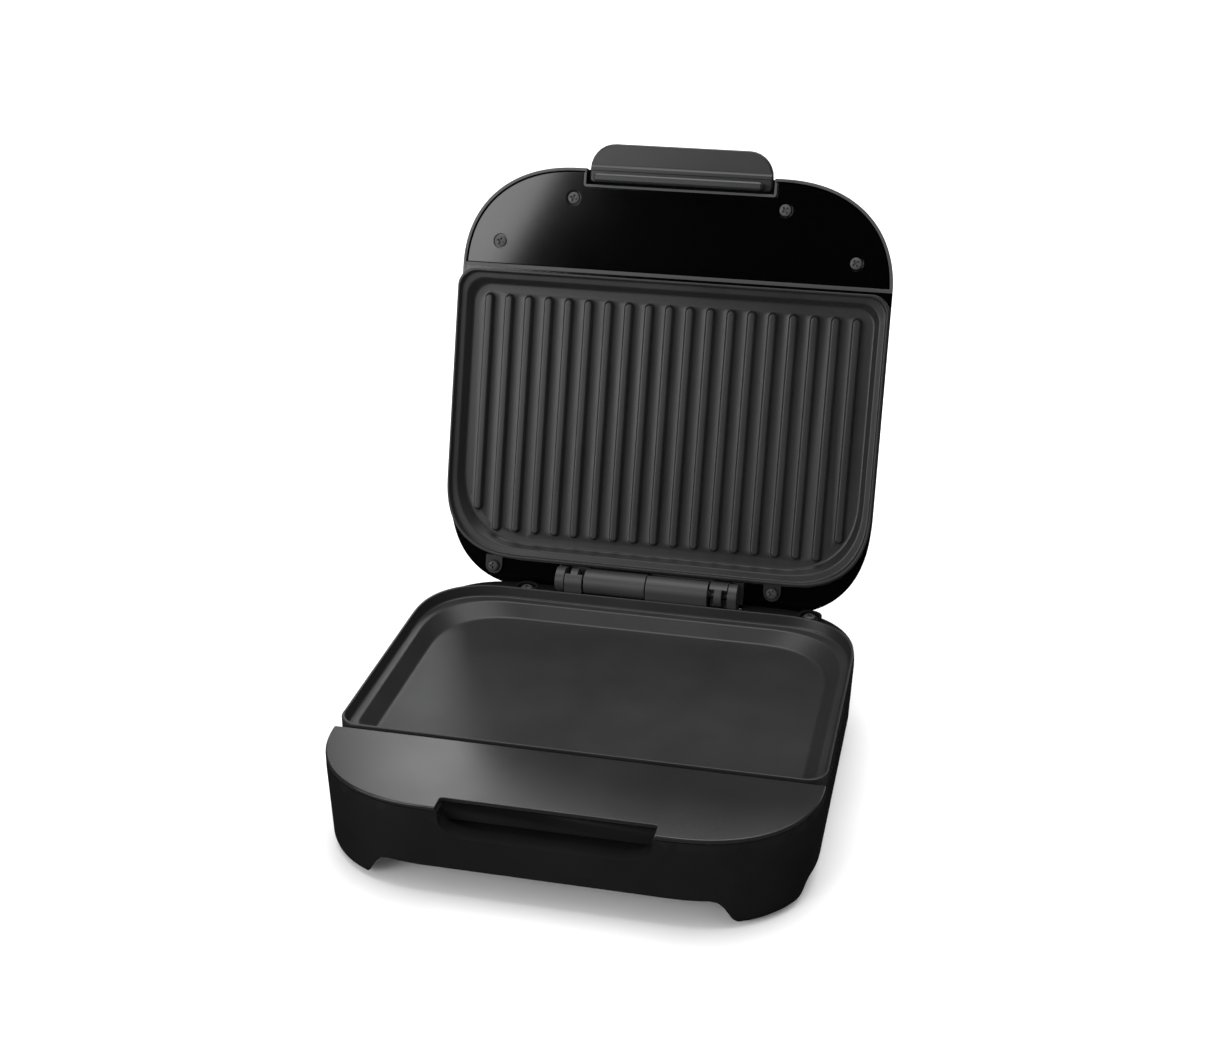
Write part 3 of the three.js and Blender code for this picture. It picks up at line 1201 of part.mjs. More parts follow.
function baseHalf() {
  const group = new THREE.Group();
  const underZ = rimZ - TRAY_FLOOR_DEPTH - PLATE_THICKNESS;
  addPiece(group, "base_shell", baseShell(), shellPlastic);
  addPiece(group, "base_apron", baseApron(), satinPlastic);
  addPiece(group, "base_plate", basePlate(), coating);
  addCommonPieces(group, "base", underZ, BASE_REFLECTOR_DEPTH);
  addPiece(group, "base_thermostat", thermostatGeometry(), phenolic, [0, plateMiddle, underZ - CLEARANCE]);
  addPiece(group, "terminal_block", terminalBlock(), nylon);
  addPiece(group, "bottom_cover", bottomCover(), shellPlastic);
  addPiece(group, "hinge_pin", hingePin(), steel);
  for (const [place, sideX, sideY] of FOOT_PLACES)
    addPiece(group, "foot_pad_" + place, footPad(sideX, sideY), rubber);
  for (const [place, x, y] of COVER_SCREW_PLACES) {
    const seat = [x, y, archZ - CLEARANCE - COVER_THICKNESS - CLEARANCE];
    const screw = addPiece(group, "cover_screw_" + place, screwGeometry(SCREW_LENGTH), steel, seat);
    screw.rotation.x = Math.PI;
  }
  const gland = addPiece(group, "cord_gland", glandGeometry(), rubber, [GLAND_X, glandY, glandZ]);
  gland.rotation.x = RIGHT_ANGLE - glandTilt;
  return group;
}

function lidHalf() {
  const group = new THREE.Group();
  const underZ = rimZ - GRILL_FLOOR_DEPTH - PLATE_THICKNESS;
  addPiece(group, "lid_shell", lidShell(), glossPlastic);
  addPiece(group, "lid_bezel", lidBezel(), glossPlastic);
  addPiece(group, "lid_plate", lidPlate(), coating);
  addCommonPieces(group, "lid", underZ, LID_REFLECTOR_DEPTH);
  addPiece(group, "lid_handle", lidHandle(), handlePlastic);
  for (const [place, x, y] of BEZEL_SCREW_PLACES) {
    const seat = [x, y, bezelTopZ - BEZEL_WELL_DEPTH + CLEARANCE];
    const length = SCREW_LENGTH + CLEARANCE;
    const screw = screwGeometry(length, BEZEL_SCREW_HEAD_HEIGHT);
    addPiece(group, "bezel_screw_" + place, screw, steel, seat);
  }
  ["left", "right"].forEach((side, k) => {
    const seat = [(k ? 1 : -1) * HANDLE_SCREW_X, handleY, pocketFloorZ - HANDLE_POCKET_WALL - CLEARANCE];
    const length = CLEARANCE + HANDLE_POCKET_WALL + CLEARANCE + HANDLE_SCREW_BITE;
    const screw = addPiece(group, "handle_screw_" + side, screwGeometry(length), steel, seat);
    screw.rotation.x = Math.PI;
  });
  ["red", "green"].forEach((colour, k) => {
    const lensZ = roofZ - CLEARANCE - LENS_HEAD_HEIGHT;
    const material = colour === "red" ? redLens : greenLens;
    addPiece(group, "pilot_lens_" + colour, lensGeometry(), material, [LAMP_XS[k], lampY, lensZ]);
    const lampZ = lensZ + LENS_HEAD_HEIGHT + LENS_SHANK_LENGTH - LENS_BORE_DEPTH + CLEARANCE;
    addPiece(group, "pilot_lamp_" + colour, lampGeometry(), lampGlass, [LAMP_XS[k], lampY, lampZ]);
  });
  return group;
}

// The lid is turned over about Y, then swung open about the hinge axis.
const lid = lidHalf();
lid.rotation.y = Math.PI;
const swing = new THREE.Group();
swing.rotation.x = -openAngle;
swing.add(lid);

const assembly = new THREE.Group();
assembly.add(baseHalf(), swing);

// The origin is moved to the middle of the bottom of the open sandwich maker.
const bounds = new THREE.Box3().setFromObject(assembly, true);
const middle = bounds.getCenter(new THREE.Vector3());
assembly.position.set(-middle.x, -middle.y, -bounds.min.z);

const sandwichMaker = new THREE.Group();
sandwichMaker.add(assembly);

export default sandwichMaker;
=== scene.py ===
# Sandwich maker in a pale studio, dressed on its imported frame.
import json
import math

import bmesh
import bpy
from mathutils import Matrix, Vector


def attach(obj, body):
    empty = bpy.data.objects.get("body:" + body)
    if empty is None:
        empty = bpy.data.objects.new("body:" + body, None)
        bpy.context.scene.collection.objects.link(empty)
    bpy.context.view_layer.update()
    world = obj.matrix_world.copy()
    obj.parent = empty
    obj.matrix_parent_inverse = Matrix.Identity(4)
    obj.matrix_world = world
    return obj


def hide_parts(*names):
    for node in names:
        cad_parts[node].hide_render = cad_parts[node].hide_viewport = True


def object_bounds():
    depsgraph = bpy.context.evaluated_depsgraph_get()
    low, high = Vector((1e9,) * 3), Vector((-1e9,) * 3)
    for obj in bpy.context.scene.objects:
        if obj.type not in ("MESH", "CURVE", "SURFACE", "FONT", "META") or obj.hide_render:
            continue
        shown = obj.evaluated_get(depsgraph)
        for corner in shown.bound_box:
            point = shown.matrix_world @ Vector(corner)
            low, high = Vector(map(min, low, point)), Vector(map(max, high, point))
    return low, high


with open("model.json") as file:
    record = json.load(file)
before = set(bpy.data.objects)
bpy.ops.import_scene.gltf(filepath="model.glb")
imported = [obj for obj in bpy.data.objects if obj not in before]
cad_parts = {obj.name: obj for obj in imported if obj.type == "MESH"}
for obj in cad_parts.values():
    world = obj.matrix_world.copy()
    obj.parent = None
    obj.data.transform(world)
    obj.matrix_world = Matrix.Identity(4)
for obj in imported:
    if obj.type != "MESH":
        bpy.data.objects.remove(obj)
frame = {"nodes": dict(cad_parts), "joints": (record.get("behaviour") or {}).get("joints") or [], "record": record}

CAD_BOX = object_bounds()
RECORD = frame["record"]

# Lengths are in millimetres and angles in degrees, unless a name or a comment says otherwise
MM = 0.001

# Camera solved from the photograph
EYE = Vector((176.27, -809.0, 501.67)) * MM
AIM = Vector((-39.13, 135.08, 49.3)) * MM
FOCAL_PIXELS = 1815.59
PHOTO_WIDTH = 1214
SENSOR = 36
CLIP_END_M = 30

# The half frames of the CAD: X along the hinge, cooking side up, front at -Y
HINGE = next(joint for joint in frame["joints"] if joint["name"] == "lid_hinge")
OPEN_ANGLE = math.radians(HINGE["range_deg"][1])
BASE = Matrix.Translation(HINGE["pos_m"])
LID = BASE @ Matrix.Rotation(-OPEN_ANGLE, 4, "X") @ Matrix.Rotation(math.pi, 4, "Y")
PLACES = {"base": BASE, "lid": LID}
BODY_OF = {node: body for body, nodes in RECORD["behaviour"]["bodies"].items() for node in nodes}
SLOT_OF = {subpart["node"]: subpart["material_slot"] for subpart in RECORD["subparts"]}


def half_box(node):
    """Lowest and highest corner of a CAD node in the frame of its own half, in millimetres."""
    back = PLACES[BODY_OF[node]].inverted()
    points = [back @ vertex.co / MM for vertex in frame["nodes"][node].data.vertices]
    low = Vector([min(point[axis] for point in points) for axis in range(3)])
    high = Vector([max(point[axis] for point in points) for axis in range(3)])
    return low, high


# Materials

# The noises' usual range, stretched over each range of tones and roughness
NOISE_LOW = 0.3
NOISE_HIGH = 0.7
CLOUD_SIZE = 35
CLOUD_DETAIL = 3
GRAIN_DETAIL = 2
EDGE_RADIUS = 0.4
EDGE_SAMPLES = 6

# Of each material slot: tone, spread of the tone, size and relief of the grain, lowest and
# highest roughness, specular level and, where it is metal, its metallic share
FINISHES = {
    "shell_plastic": ((0.006, 0.006, 0.0062), 0.12, 0.7, 0.03, (0.66, 0.74), 0.1),
    "apron_satin": ((0.012, 0.012, 0.0124), 0.06, 0.35, 0.004, (0.22, 0.26), 0.7),
    "bezel_gloss": ((0.0006, 0.0006, 0.0006), 0.1, 20, 0.004, (0.07, 0.085), 0.5),
    "handle_plastic": ((0.017, 0.017, 0.0176), 0.08, 0.5, 0.012, (0.34, 0.42), 0.5),
    "nonstick": ((0.016, 0.016, 0.0163), 0.08, 0.9, 0.008, (0.34, 0.41), 0.42),
    "frame_paint": ((0.01, 0.01, 0.0103), 0.1, 0.8, 0.012, (0.42, 0.52), 0.4),
    "hinge_paint": ((0.034, 0.034, 0.035), 0.12, 0.6, 0.02, (0.42, 0.52), 0.45),
    "screw_steel": ((0.085, 0.085, 0.087), 0.25, 0.5, 0.02, (0.5, 0.62), 0.5, 0.6),
    "reflector_sheet": ((0.7, 0.71, 0.72), 0.05, 3, 0.05, (0.18, 0.3), 0.5, 1.0),
    "heater_sheath": ((0.17, 0.15, 0.13), 0.35, 1.5, 0.05, (0.45, 0.65), 0.5, 0.8),
    "rubber": ((0.011, 0.011, 0.011), 0.15, 0.5, 0.03, (0.75, 0.9), 0.2),
    "phenolic": ((0.03, 0.024, 0.02), 0.3, 0.6, 0.03, (0.5, 0.65), 0.4),
    "nylon": ((0.66, 0.64, 0.56), 0.04, 1.2, 0.02, (0.4, 0.5), 0.4),
    "lens_red": ((0.5, 0.015, 0.01), 0.05, 6, 0.02, (0.06, 0.12), 0.5),
    "lens_green": ((0.02, 0.3, 0.05), 0.05, 6, 0.02, (0.06, 0.12), 0.5),
    "lamp_glass": ((0.85, 0.8, 0.7), 0.05, 6, 0.02, (0.06, 0.12), 0.5),
}
CLEAR_SLOTS = ("lens_red", "lens_green", "lamp_glass")
CLEAR_TRANSMISSION = 0.6
FLOOR_FINISH = ((0.93, 0.93, 0.93), 0.01, 30, 0.05, (0.6, 0.7), 0.2)

# The lid's moulding: the polished deck, and in front of the bezel's bar the satin lips, whose lighter colour is a
# painted highlight
BAR_WIDTH = 2.3
LIP_DEPTH = 0.25
LIP_BLEND = 0.1
# Colour, roughness and specular level
MASKED_SOCKETS = ("Base Color", "Roughness", "Specular IOR Level")
DECK_FINISH = ((0.0006, 0.0006, 0.0006, 1), 0.08, 0.5)
# The lips' satin roughness, under a lighter colour that is a painted highlight along them
LIP_SATIN_AND_HIGHLIGHT = ((0.045, 0.045, 0.046, 1), 0.42, 0.5)


def noise(nodes, links, size_mm, detail):
    """Noise in the piece's own space, with features of about size_mm."""
    coordinates = nodes.new("ShaderNodeTexCoord")
    mapping = nodes.new("ShaderNodeMapping")
    mapping.inputs["Scale"].default_value = [1 / (size_mm * MM)] * 3
    texture = nodes.new("ShaderNodeTexNoise")
    texture.inputs["Scale"].default_value = 1
    texture.inputs["Detail"].default_value = detail
    links.new(coordinates.outputs["Object"], mapping.inputs["Vector"])
    links.new(mapping.outputs["Vector"], texture.inputs["Vector"])
    return texture.outputs["Fac"]


def spread(nodes, links, factor, low, high):
    """Maps a noise onto a range of numbers."""
    ranged = nodes.new("ShaderNodeMapRange")
    ranged.inputs["From Min"].default_value = NOISE_LOW
    ranged.inputs["From Max"].default_value = NOISE_HIGH
    ranged.inputs["To Min"].default_value = low
    ranged.inputs["To Max"].default_value = high
    links.new(factor, ranged.inputs["Value"])
    return ranged.outputs["Result"]


def tones(nodes, links, factor, dark, light):
    """Maps a noise onto two near tones of one colour."""
    ramp = nodes.new("ShaderNodeValToRGB")
    ramp.color_ramp.elements[0].position = NOISE_LOW
    ramp.color_ramp.elements[0].color = (*dark, 1)
    ramp.color_ramp.elements[1].position = NOISE_HIGH
    ramp.color_ramp.elements[1].color = (*light, 1)
    links.new(factor, ramp.inputs["Fac"])
    return ramp.outputs["Color"]


def bump(nodes, links, shader, height, distance_mm):
    """Grain in relief, over edges that shade as if they were rounded."""
    edges = nodes.new("ShaderNodeBevel")
    edges.samples = EDGE_SAMPLES
    edges.inputs["Radius"].default_value = EDGE_RADIUS * MM
    relief = nodes.new("ShaderNodeBump")
    relief.inputs["Distance"].default_value = distance_mm * MM
    relief.inputs["Strength"].default_value = 1
    links.new(height, relief.inputs["Height"])
    links.new(edges.outputs["Normal"], relief.inputs["Normal"])
    links.new(relief.outputs["Normal"], shader.inputs["Normal"])


def grained(name, tone, tone_spread, grain_mm, relief_mm, roughness, specular, metallic=0.0):
    """A surface with a fine grain, two near tones and a slightly uneven gloss."""
    material = bpy.data.materials.new(name)
    material.use_nodes = True
    nodes = material.node_tree.nodes
    links = material.node_tree.links
    shader = nodes["Principled BSDF"]
    dark = [value * (1 - tone_spread) for value in tone]
    light = [value * (1 + tone_spread) for value in tone]
    clouds = noise(nodes, links, CLOUD_SIZE, CLOUD_DETAIL)
    links.new(tones(nodes, links, clouds, dark, light), shader.inputs["Base Color"])
    links.new(spread(nodes, links, clouds, *roughness), shader.inputs["Roughness"])
    bump(nodes, links, shader, noise(nodes, links, grain_mm, GRAIN_DETAIL), relief_mm)
    shader.inputs["Specular IOR Level"].default_value = specular
    shader.inputs["Metallic"].default_value = metallic
    return material


def half_axis(nodes, links, place, axis, from_mm, to_mm):
    """Mask that goes from 0 to 1 between two distances along an axis of a half frame."""
    direction = place.to_3x3().col[axis]
    start = direction.dot(place.translation)
    coordinates = nodes.new("ShaderNodeTexCoord")
    along = nodes.new("ShaderNodeVectorMath")
    along.operation = "DOT_PRODUCT"
    along.inputs[1].default_value = direction
    ranged = nodes.new("ShaderNodeMapRange")
    ranged.inputs["From Min"].default_value = start + from_mm * MM
    ranged.inputs["From Max"].default_value = start + to_mm * MM
    links.new(coordinates.outputs["Object"], along.inputs[0])
    links.new(along.outputs["Value"], ranged.inputs["Value"])
    return ranged.outputs["Result"]


def mixed(nodes, links, factor, first, second):
    """Mixes two colours or two numbers. The first may come from another node."""
    mix = nodes.new("ShaderNodeMix")
    mix.data_type = "FLOAT" if isinstance(second, float) else "RGBA"
    pins = {pin.name: pin for pin in mix.inputs if pin.enabled}
    if isinstance(first, bpy.types.NodeSocket):
        links.new(first, pins["A"])
    else:
        pins["A"].default_value = first
    pins["B"].default_value = second
    links.new(factor, pins["Factor"])
    return next(pin for pin in mix.outputs if pin.enabled)


def lid_moulding():
    """The shells' plastic, polished on the deck, and satin on the lips of bezel and notch, where a lighter colour
    paints a highlight.
    """
    material = grained("lid_moulding", *FINISHES["shell_plastic"])
    nodes = material.node_tree.nodes
    links = material.node_tree.links
    shader = nodes["Principled BSDF"]
    lip = half_box("lid_shell")[1].z
    bar = half_box("lid_bezel")[1].y + BAR_WIDTH
    raised = half_axis(nodes, links, LID, 2, lip - LIP_DEPTH, lip - LIP_DEPTH + LIP_BLEND)
    forward = half_axis(nodes, links, LID, 1, bar, bar - LIP_BLEND)
    # Mask of the lips, where the lighter colour paints a highlight
    lips = nodes.new("ShaderNodeMath")
    lips.operation = "MULTIPLY"
    links.new(raised, lips.inputs[0])
    links.new(forward, lips.inputs[1])
    for name, polish, satin_and_highlight in zip(MASKED_SOCKETS, DECK_FINISH, LIP_SATIN_AND_HIGHLIGHT):
        socket = shader.inputs[name]
        plain = socket.links[0].from_socket if socket.is_linked else socket.default_value
        polished = mixed(nodes, links, raised, plain, polish)
        links.new(mixed(nodes, links, lips.outputs["Value"], polished, satin_and_highlight), socket)
    return material


MATERIALS = {slot: grained(slot, *finish) for slot, finish in FINISHES.items()}
for clear_slot in CLEAR_SLOTS:
    clear_shader = MATERIALS[clear_slot].node_tree.nodes["Principled BSDF"]
    clear_shader.inputs["Transmission Weight"].default_value = CLEAR_TRANSMISSION
LID_MOULDING = lid_moulding()


# Mesh helpers, in millimetres in a half frame

# Plan of the plates: the corners' semi-axes and the powers of their superellipses
PLATE_FRONT_CORNER = (10, 10)
PLATE_FRONT_POWER = 2
PLATE_REAR_CORNER = (43, 43.4)
PLATE_REAR_POWER = 2.5
CORNER_STEPS = 24
FILLET_STEPS = 5
SMOOTH_ANGLE = 50


def outline(half, front, rear, inset):
    """Outline of a plate, counter-clockwise, moved inwards by inset."""
    small = (*PLATE_FRONT_CORNER, PLATE_FRONT_POWER)
    large = (*PLATE_REAR_CORNER, PLATE_REAR_POWER)
    points = []
    for side_x, side_y, corner in ((1, -1, small), (1, 1, large), (-1, 1, large), (-1, -1, small)):
        reach_x, reach_y, power = corner
        centre_x = side_x * (half - inset - reach_x)
        centre_y = front + inset + reach_y if side_y < 0 else rear - inset - reach_y
        for k in range(CORNER_STEPS + 1):
            swept = k / CORNER_STEPS * math.pi / 2
            turn = swept if side_x == side_y else math.pi / 2 - swept
            x = centre_x + side_x * reach_x * max(math.cos(turn), 0) ** (2 / power)
            y = centre_y + side_y * reach_y * max(math.sin(turn), 0) ** (2 / power)
            points.append((x, y))
    return points


def filleted(corners):
    """Rounds the corners of an open profile. Each corner is an inset, a depth and a radius."""
    path = []
    for index, (inset, depth, radius) in enumerate(corners):
        here = Vector((inset, depth))
        if radius == 0 or index in (0, len(corners) - 1):
            path.append(here)
            continue
        back = (Vector(corners[index - 1][:2]) - here).normalized()
        ahead = (Vector(corners[index + 1][:2]) - here).normalized()
        opening = back.angle(ahead)
        reach = radius / math.tan(opening / 2)
        start = here + back * reach
        end = here + ahead * reach
        for k in range(FILLET_STEPS + 1):
            share = k / FILLET_STEPS
            first = start.lerp(here, share)
            second = here.lerp(end, share)
            path.append(first.lerp(second, share))
    return path


def skin(bm, rings):
    """Quads between rings of equal point counts, with flat caps on the first and last ring."""
    loops = [[bm.verts.new(point) for point in ring] for ring in rings]
    for low, high in zip(loops, loops[1:]):
        for k in range(len(low)):
            after = (k + 1) % len(low)
            bm.faces.new((low[k], low[after], high[after], high[k]))
    bm.faces.new(list(reversed(loops[0])))
    bm.faces.new(loops[-1])


def shade_smooth(mesh):
    """Smooth shading, broken at every edge sharper than SMOOTH_ANGLE."""
    for polygon in mesh.polygons:
        polygon.use_smooth = True
    mesh.set_sharp_from_angle(angle=math.radians(SMOOTH_ANGLE))


def new_object(name, data):
    thing = bpy.data.objects.new(name, data)
    bpy.context.scene.collection.objects.link(thing)
    return thing


def finish_piece(name, bm, place, material, body):
    """Puts a mesh in millimetres in its place, as a named piece that rides on its body."""
    mesh = bpy.data.meshes.new(name)
    bmesh.ops.recalc_face_normals(bm, faces=bm.faces)
    bm.transform(place @ Matrix.Scale(MM, 4))
    bm.to_mesh(mesh)
    bm.free()
    shade_smooth(mesh)
    mesh.materials.append(material)
    piece = new_object(name, mesh)
    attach(piece, body)
    return piece


def combine(piece, operation, tool, tool_overlaps=False):
    """Joins a tool's shape to a piece, or cuts it out of it, and deletes the tool."""
    change = piece.modifiers.new("combine", "BOOLEAN")
    change.operation = operation
    change.solver = "EXACT"
    change.use_self = tool_overlaps
    change.object = tool
    evaluated = piece.evaluated_get(bpy.context.evaluated_depsgraph_get())
    mesh = bpy.data.meshes.new_from_object(evaluated)
    piece.modifiers.clear()
    piece.data = mesh
    shade_smooth(mesh)
    bpy.data.objects.remove(tool)


def stands_for(piece, node):
    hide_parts(node)


# Nodes that keep their own shape

SHELL_PIECES = ("base_shell", "base_apron", "lid_shell", "lid_bezel")
# Rings whose flat faces go round a hole keep their facets
KEPT_FACETS = ("base_frame", "lid_frame", "bottom_cover", "cord_gland")

# Plan of the shells: the corners' semi-axes, the powers of their superellipses and the CAD's steps
SHELL_FRONT_STRAIGHT = 55
SHELL_FRONT_REACH = 57.6
SHELL_FRONT_POWER = 2.25
SHELL_REAR_CORNER = (50, 56)
SHELL_REAR_POWER = 2.4
SHELL_STEPS = 7
# Each facet of a corner is split into this many
FINE_STEPS = 4
# Share of the way out from a corner's centre where points start to move, and where they fully do
ROUND_FROM = 0.8
ROUND_BLEND = 0.1
CORNER_SLACK = 0.01
CUT_SLACK = 0.001
ANGLE_SLACK = 1e-6
# Points nearer than this to a corner's centre stay where they are
CENTRE_RADIUS = 1

# Inner sides of the raised deck beside the hinge, moved in to the hinge plate
PLATFORM_SIDE = 54.5
PLATFORM_SLACK = 0.05
PLATFORM_CLOSED_SIDE = 52.35
PLATFORM_REAR_SHARE = 0.7

MERGE_DISTANCE = 0.002
FLAT_ANGLE = 0.4
EDGE_ANGLE = 38
EDGE_SEGMENTS = 2


def shell_corners(low, high):
    """Centre, side, semi-axes and power of each round corner of the shells in the half frame."""
    half = high.x
    front = (half - SHELL_FRONT_STRAIGHT, SHELL_FRONT_REACH)
    for side in (-1, 1):
        centre = Vector((side * SHELL_FRONT_STRAIGHT, low.y + SHELL_FRONT_REACH))
        yield centre, (side, -1), front, SHELL_FRONT_POWER
        centre = Vector((side * (half - SHELL_REAR_CORNER[0]), high.y - SHELL_REAR_CORNER[1]))
        yield centre, (side, 1), SHELL_REAR_CORNER, SHELL_REAR_POWER


def on_corner(reach, power, turn):
    """Point of a corner's curve, from the corner's centre."""
    x = reach[0] * max(math.cos(turn), 0) ** (2 / power)
    y = reach[1] * max(math.sin(turn), 0) ** (2 / power)
    return Vector((x, y))


def true_radius(reach, power, angle):
    """Distance from the centre to the corner's curve along an angle."""
    along_x, along_y = math.cos(angle) / reach[0], math.sin(angle) / reach[1]
    return (max(along_x, 0) ** power + max(along_y, 0) ** power) ** (-1 / power)


def chord_radius(points, angle):
    """Distance from the centre to the faceted corner along an angle."""
    ray = Vector((math.cos(angle), math.sin(angle)))
    for near, far in zip(points, points[1:]):
        if math.atan2(far.y, far.x) >= angle - ANGLE_SLACK:
            along = far - near
            normal = Vector((along.y, -along.x))
            return near.dot(normal) / ray.dot(normal)
    return points[-1].length


def round_off(bm, low, high):
    """Splits the facets of the shells' corners and moves the new points out onto the curve."""
    for centre, (side_x, side_y), reach, power in shell_corners(low, high):
        turns = [k / SHELL_STEPS * math.pi / 2 for k in range(SHELL_STEPS + 1)]
        points = [on_corner(reach, power, turn) for turn in turns]
        cuts = []
        for near, far in zip(points, points[1:]):
            cuts += [near.lerp(far, k / FINE_STEPS) for k in range(1, FINE_STEPS)]

        def inside(vertex):
            offset = Vector(vertex.co.xy) - centre
            return offset.x * side_x > -CORNER_SLACK and offset.y * side_y > -CORNER_SLACK

        for cut in cuts:
            faces = [face for face in bm.faces if all(inside(vertex) for vertex in face.verts)]
            edges = {edge for face in faces for edge in face.edges}
            verts = {vertex for face in faces for vertex in face.verts}
            bmesh.ops.bisect_plane(
                bm,
                geom=[*faces, *edges, *verts],
                dist=CUT_SLACK,
                plane_co=(centre.x, centre.y, 0),
                plane_no=Vector((cut.y * side_x, -cut.x * side_y, 0)),
            )
        for vertex in bm.verts:
            offset = Vector(vertex.co.xy) - centre
            outside = offset.x * side_x < 0 or offset.y * side_y < 0
            if outside or offset.length < CENTRE_RADIUS:
                continue
            angle = math.atan2(offset.y * side_y, offset.x * side_x)
            edge = chord_radius(points, angle)
            share = min(max((offset.length / edge - ROUND_FROM) / ROUND_BLEND, 0), 1)
            growth = 1 + share * (true_radius(reach, power, angle) / edge - 1)
            vertex.co.x = centre.x + offset.x * growth
            vertex.co.y = centre.y + offset.y * growth


def close_platform(bm, low, high):
    """Closes the slits between raised deck and hinge plate, which would show the bright floor."""
    rear = high.y - (high.y - low.y) * (1 - PLATFORM_REAR_SHARE)
    for vertex in bm.verts:
        on_side = abs(abs(vertex.co.x) - PLATFORM_SIDE) < PLATFORM_SLACK
        if on_side and vertex.co.y > rear:
            vertex.co.x = math.copysign(PLATFORM_CLOSED_SIDE, vertex.co.x)


def dressed(node, edge_mm):
    """A CAD node's own shape with broken edges and smooth shading over its facets."""
    body = BODY_OF[node]
    bm = bmesh.new()
    bm.from_mesh(frame["nodes"][node].data)
    bmesh.ops.remove_doubles(bm, verts=bm.verts, dist=MERGE_DISTANCE * MM)
    if node in SHELL_PIECES:
        shell_box = half_box(body + "_shell")
        bm.transform(Matrix.Scale(1 / MM, 4) @ PLACES[body].inverted())
        round_off(bm, *shell_box)
        if node == "base_shell":
            close_platform(bm, *shell_box)
        bm.transform(PLACES[body] @ Matrix.Scale(MM, 4))
    if node not in KEPT_FACETS:
        flat = math.radians(FLAT_ANGLE)
        bmesh.ops.dissolve_limit(bm, angle_limit=flat, verts=bm.verts, edges=bm.edges)
    mesh = bpy.data.meshes.new(node + "_form")
    bm.to_mesh(mesh)
    bm.free()
    for polygon in mesh.polygons:
        polygon.use_smooth = True
    custom = mesh.attributes.get("custom_normal")
    if custom:
        mesh.attributes.remove(custom)
    mesh.materials.clear()
    mesh.materials.append(LID_MOULDING if node == "lid_shell" else MATERIALS[SLOT_OF[node]])
    piece = new_object(node + "_form", mesh)
    edges = piece.modifiers.new("broken edges", "BEVEL")
    edges.width = edge_mm * MM
    edges.segments = EDGE_SEGMENTS
    edges.limit_method = "ANGLE"
    edges.angle_limit = math.radians(EDGE_ANGLE)
    edges.miter_outer = "MITER_ARC"
    normals = piece.modifiers.new("even shading", "WEIGHTED_NORMAL")
    normals.keep_sharp = True
    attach(piece, body)
    stands_for(piece, node)


# Plates

# Profiles of the plates from under their floors over the rim: inset, depth and fillet radius
TRAY_FLOOR_DEPTH = 12.9
TRAY_PROFILE = (
    (11.9, 15.1, 0),
    (5.3, 8.6, 1.5),
    (3.2, 8.6, 0.6),
    (1.2, 6.6, 0.3),
    (0, 6.6, 0.3),
    (0, 0, 0.45),
    (1.2, 0, 0.45),
    (1.9, 6.1, 1.4),
    (6.2, 6.4, 1.8),
    (12.7, TRAY_FLOOR_DEPTH, 2.2),
    (15.5, TRAY_FLOOR_DEPTH, 0),
)
GRILL_FLOOR_DEPTH = 7.5
GRILL_PROFILE = (
    (8.4, 9.7, 0),
    (3.8, 4.8, 1.0),
    (2, 4.8, 0),
    (2, 6.6, 0.2),
    (0, 6.6, 0.3),
    (0, 0, 0.45),
    (1.2, 0, 0.45),
    (1.75, 2.5, 0.9),
    (5.0, 2.7, 1.0),
    (7.4, GRILL_FLOOR_DEPTH, 1.6),
    (10.5, GRILL_FLOOR_DEPTH, 0),
)

RIB_COUNT = 19
RIB_PITCH = 11.24
RIB_FRONT_MARGIN = 13
RIB_REAR_MARGIN = 13.5
RIB_CORNER_MARGIN = 24.5
RIB_END_STEPS = 12
# The ribs reach into the floor, so that the two shapes cross
RIB_SINK = 0.05
RIB_ROOT = 0.2
# A rib's section from its foot to its top: half width, height and fillet radius
RIB_SECTION = (
    (3.6, 0.0, 0),
    (2.65, 0.0, 0.6),
    (1.75, 2.95, 0.55),
    (0.8, 3.0, 0),
)


def plate_dish(node, profile):
    """Coated plate with filleted corners, in one skin from the underside to the cooking floor."""
    low, high = half_box(node)
    rings = []
    for inset, depth in filleted(profile):
        points = outline(high.x, low.y, high.y, inset)
        rings.append([(x, y, high.z - depth) for x, y in points])
    body = BODY_OF[node]
    bm = bmesh.new()
    skin(bm, rings)
    return finish_piece(node + "_coated", bm, PLACES[body], MATERIALS["nonstick"], body)


def rib_outline(x, from_y, to_y, half):
    """Outline of a rib, round at both ends."""
    points = []
    for centre_y, start in ((from_y, math.pi), (to_y, 0)):
        for k in range(RIB_END_STEPS + 1):
            angle = start + math.pi * k / RIB_END_STEPS
            points.append((x + half * math.cos(angle), centre_y + half * math.sin(angle)))
    return points


def grill_ribs(low, high):
    """All ribs of the lid's plate. The outermost ones end before the round corners."""
    floor_z = high.z - GRILL_FLOOR_DEPTH
    foot = RIB_SECTION[1][0]
    section = [Vector((RIB_SECTION[0][0], -RIB_ROOT)), *filleted(RIB_SECTION)]
    bm = bmesh.new()
    for k in range(RIB_COUNT):
        x = (k - (RIB_COUNT - 1) / 2) * RIB_PITCH
        outermost = k in (0, RIB_COUNT - 1)
        rear = high.y - (RIB_CORNER_MARGIN if outermost else RIB_REAR_MARGIN)
        rings = []
        for half, height in section:
            points = rib_outline(x, low.y + RIB_FRONT_MARGIN + foot, rear - foot, half)
            rings.append([(px, py, floor_z + height - RIB_SINK) for px, py in points])
        skin(bm, rings)
    return finish_piece("ribs", bm, LID, MATERIALS["nonstick"], "lid")


def base_plate():
    """Flat tray: thin rim, steep wall, ledge all round and a sunk floor."""
    stands_for(plate_dish("base_plate", TRAY_PROFILE), "base_plate")


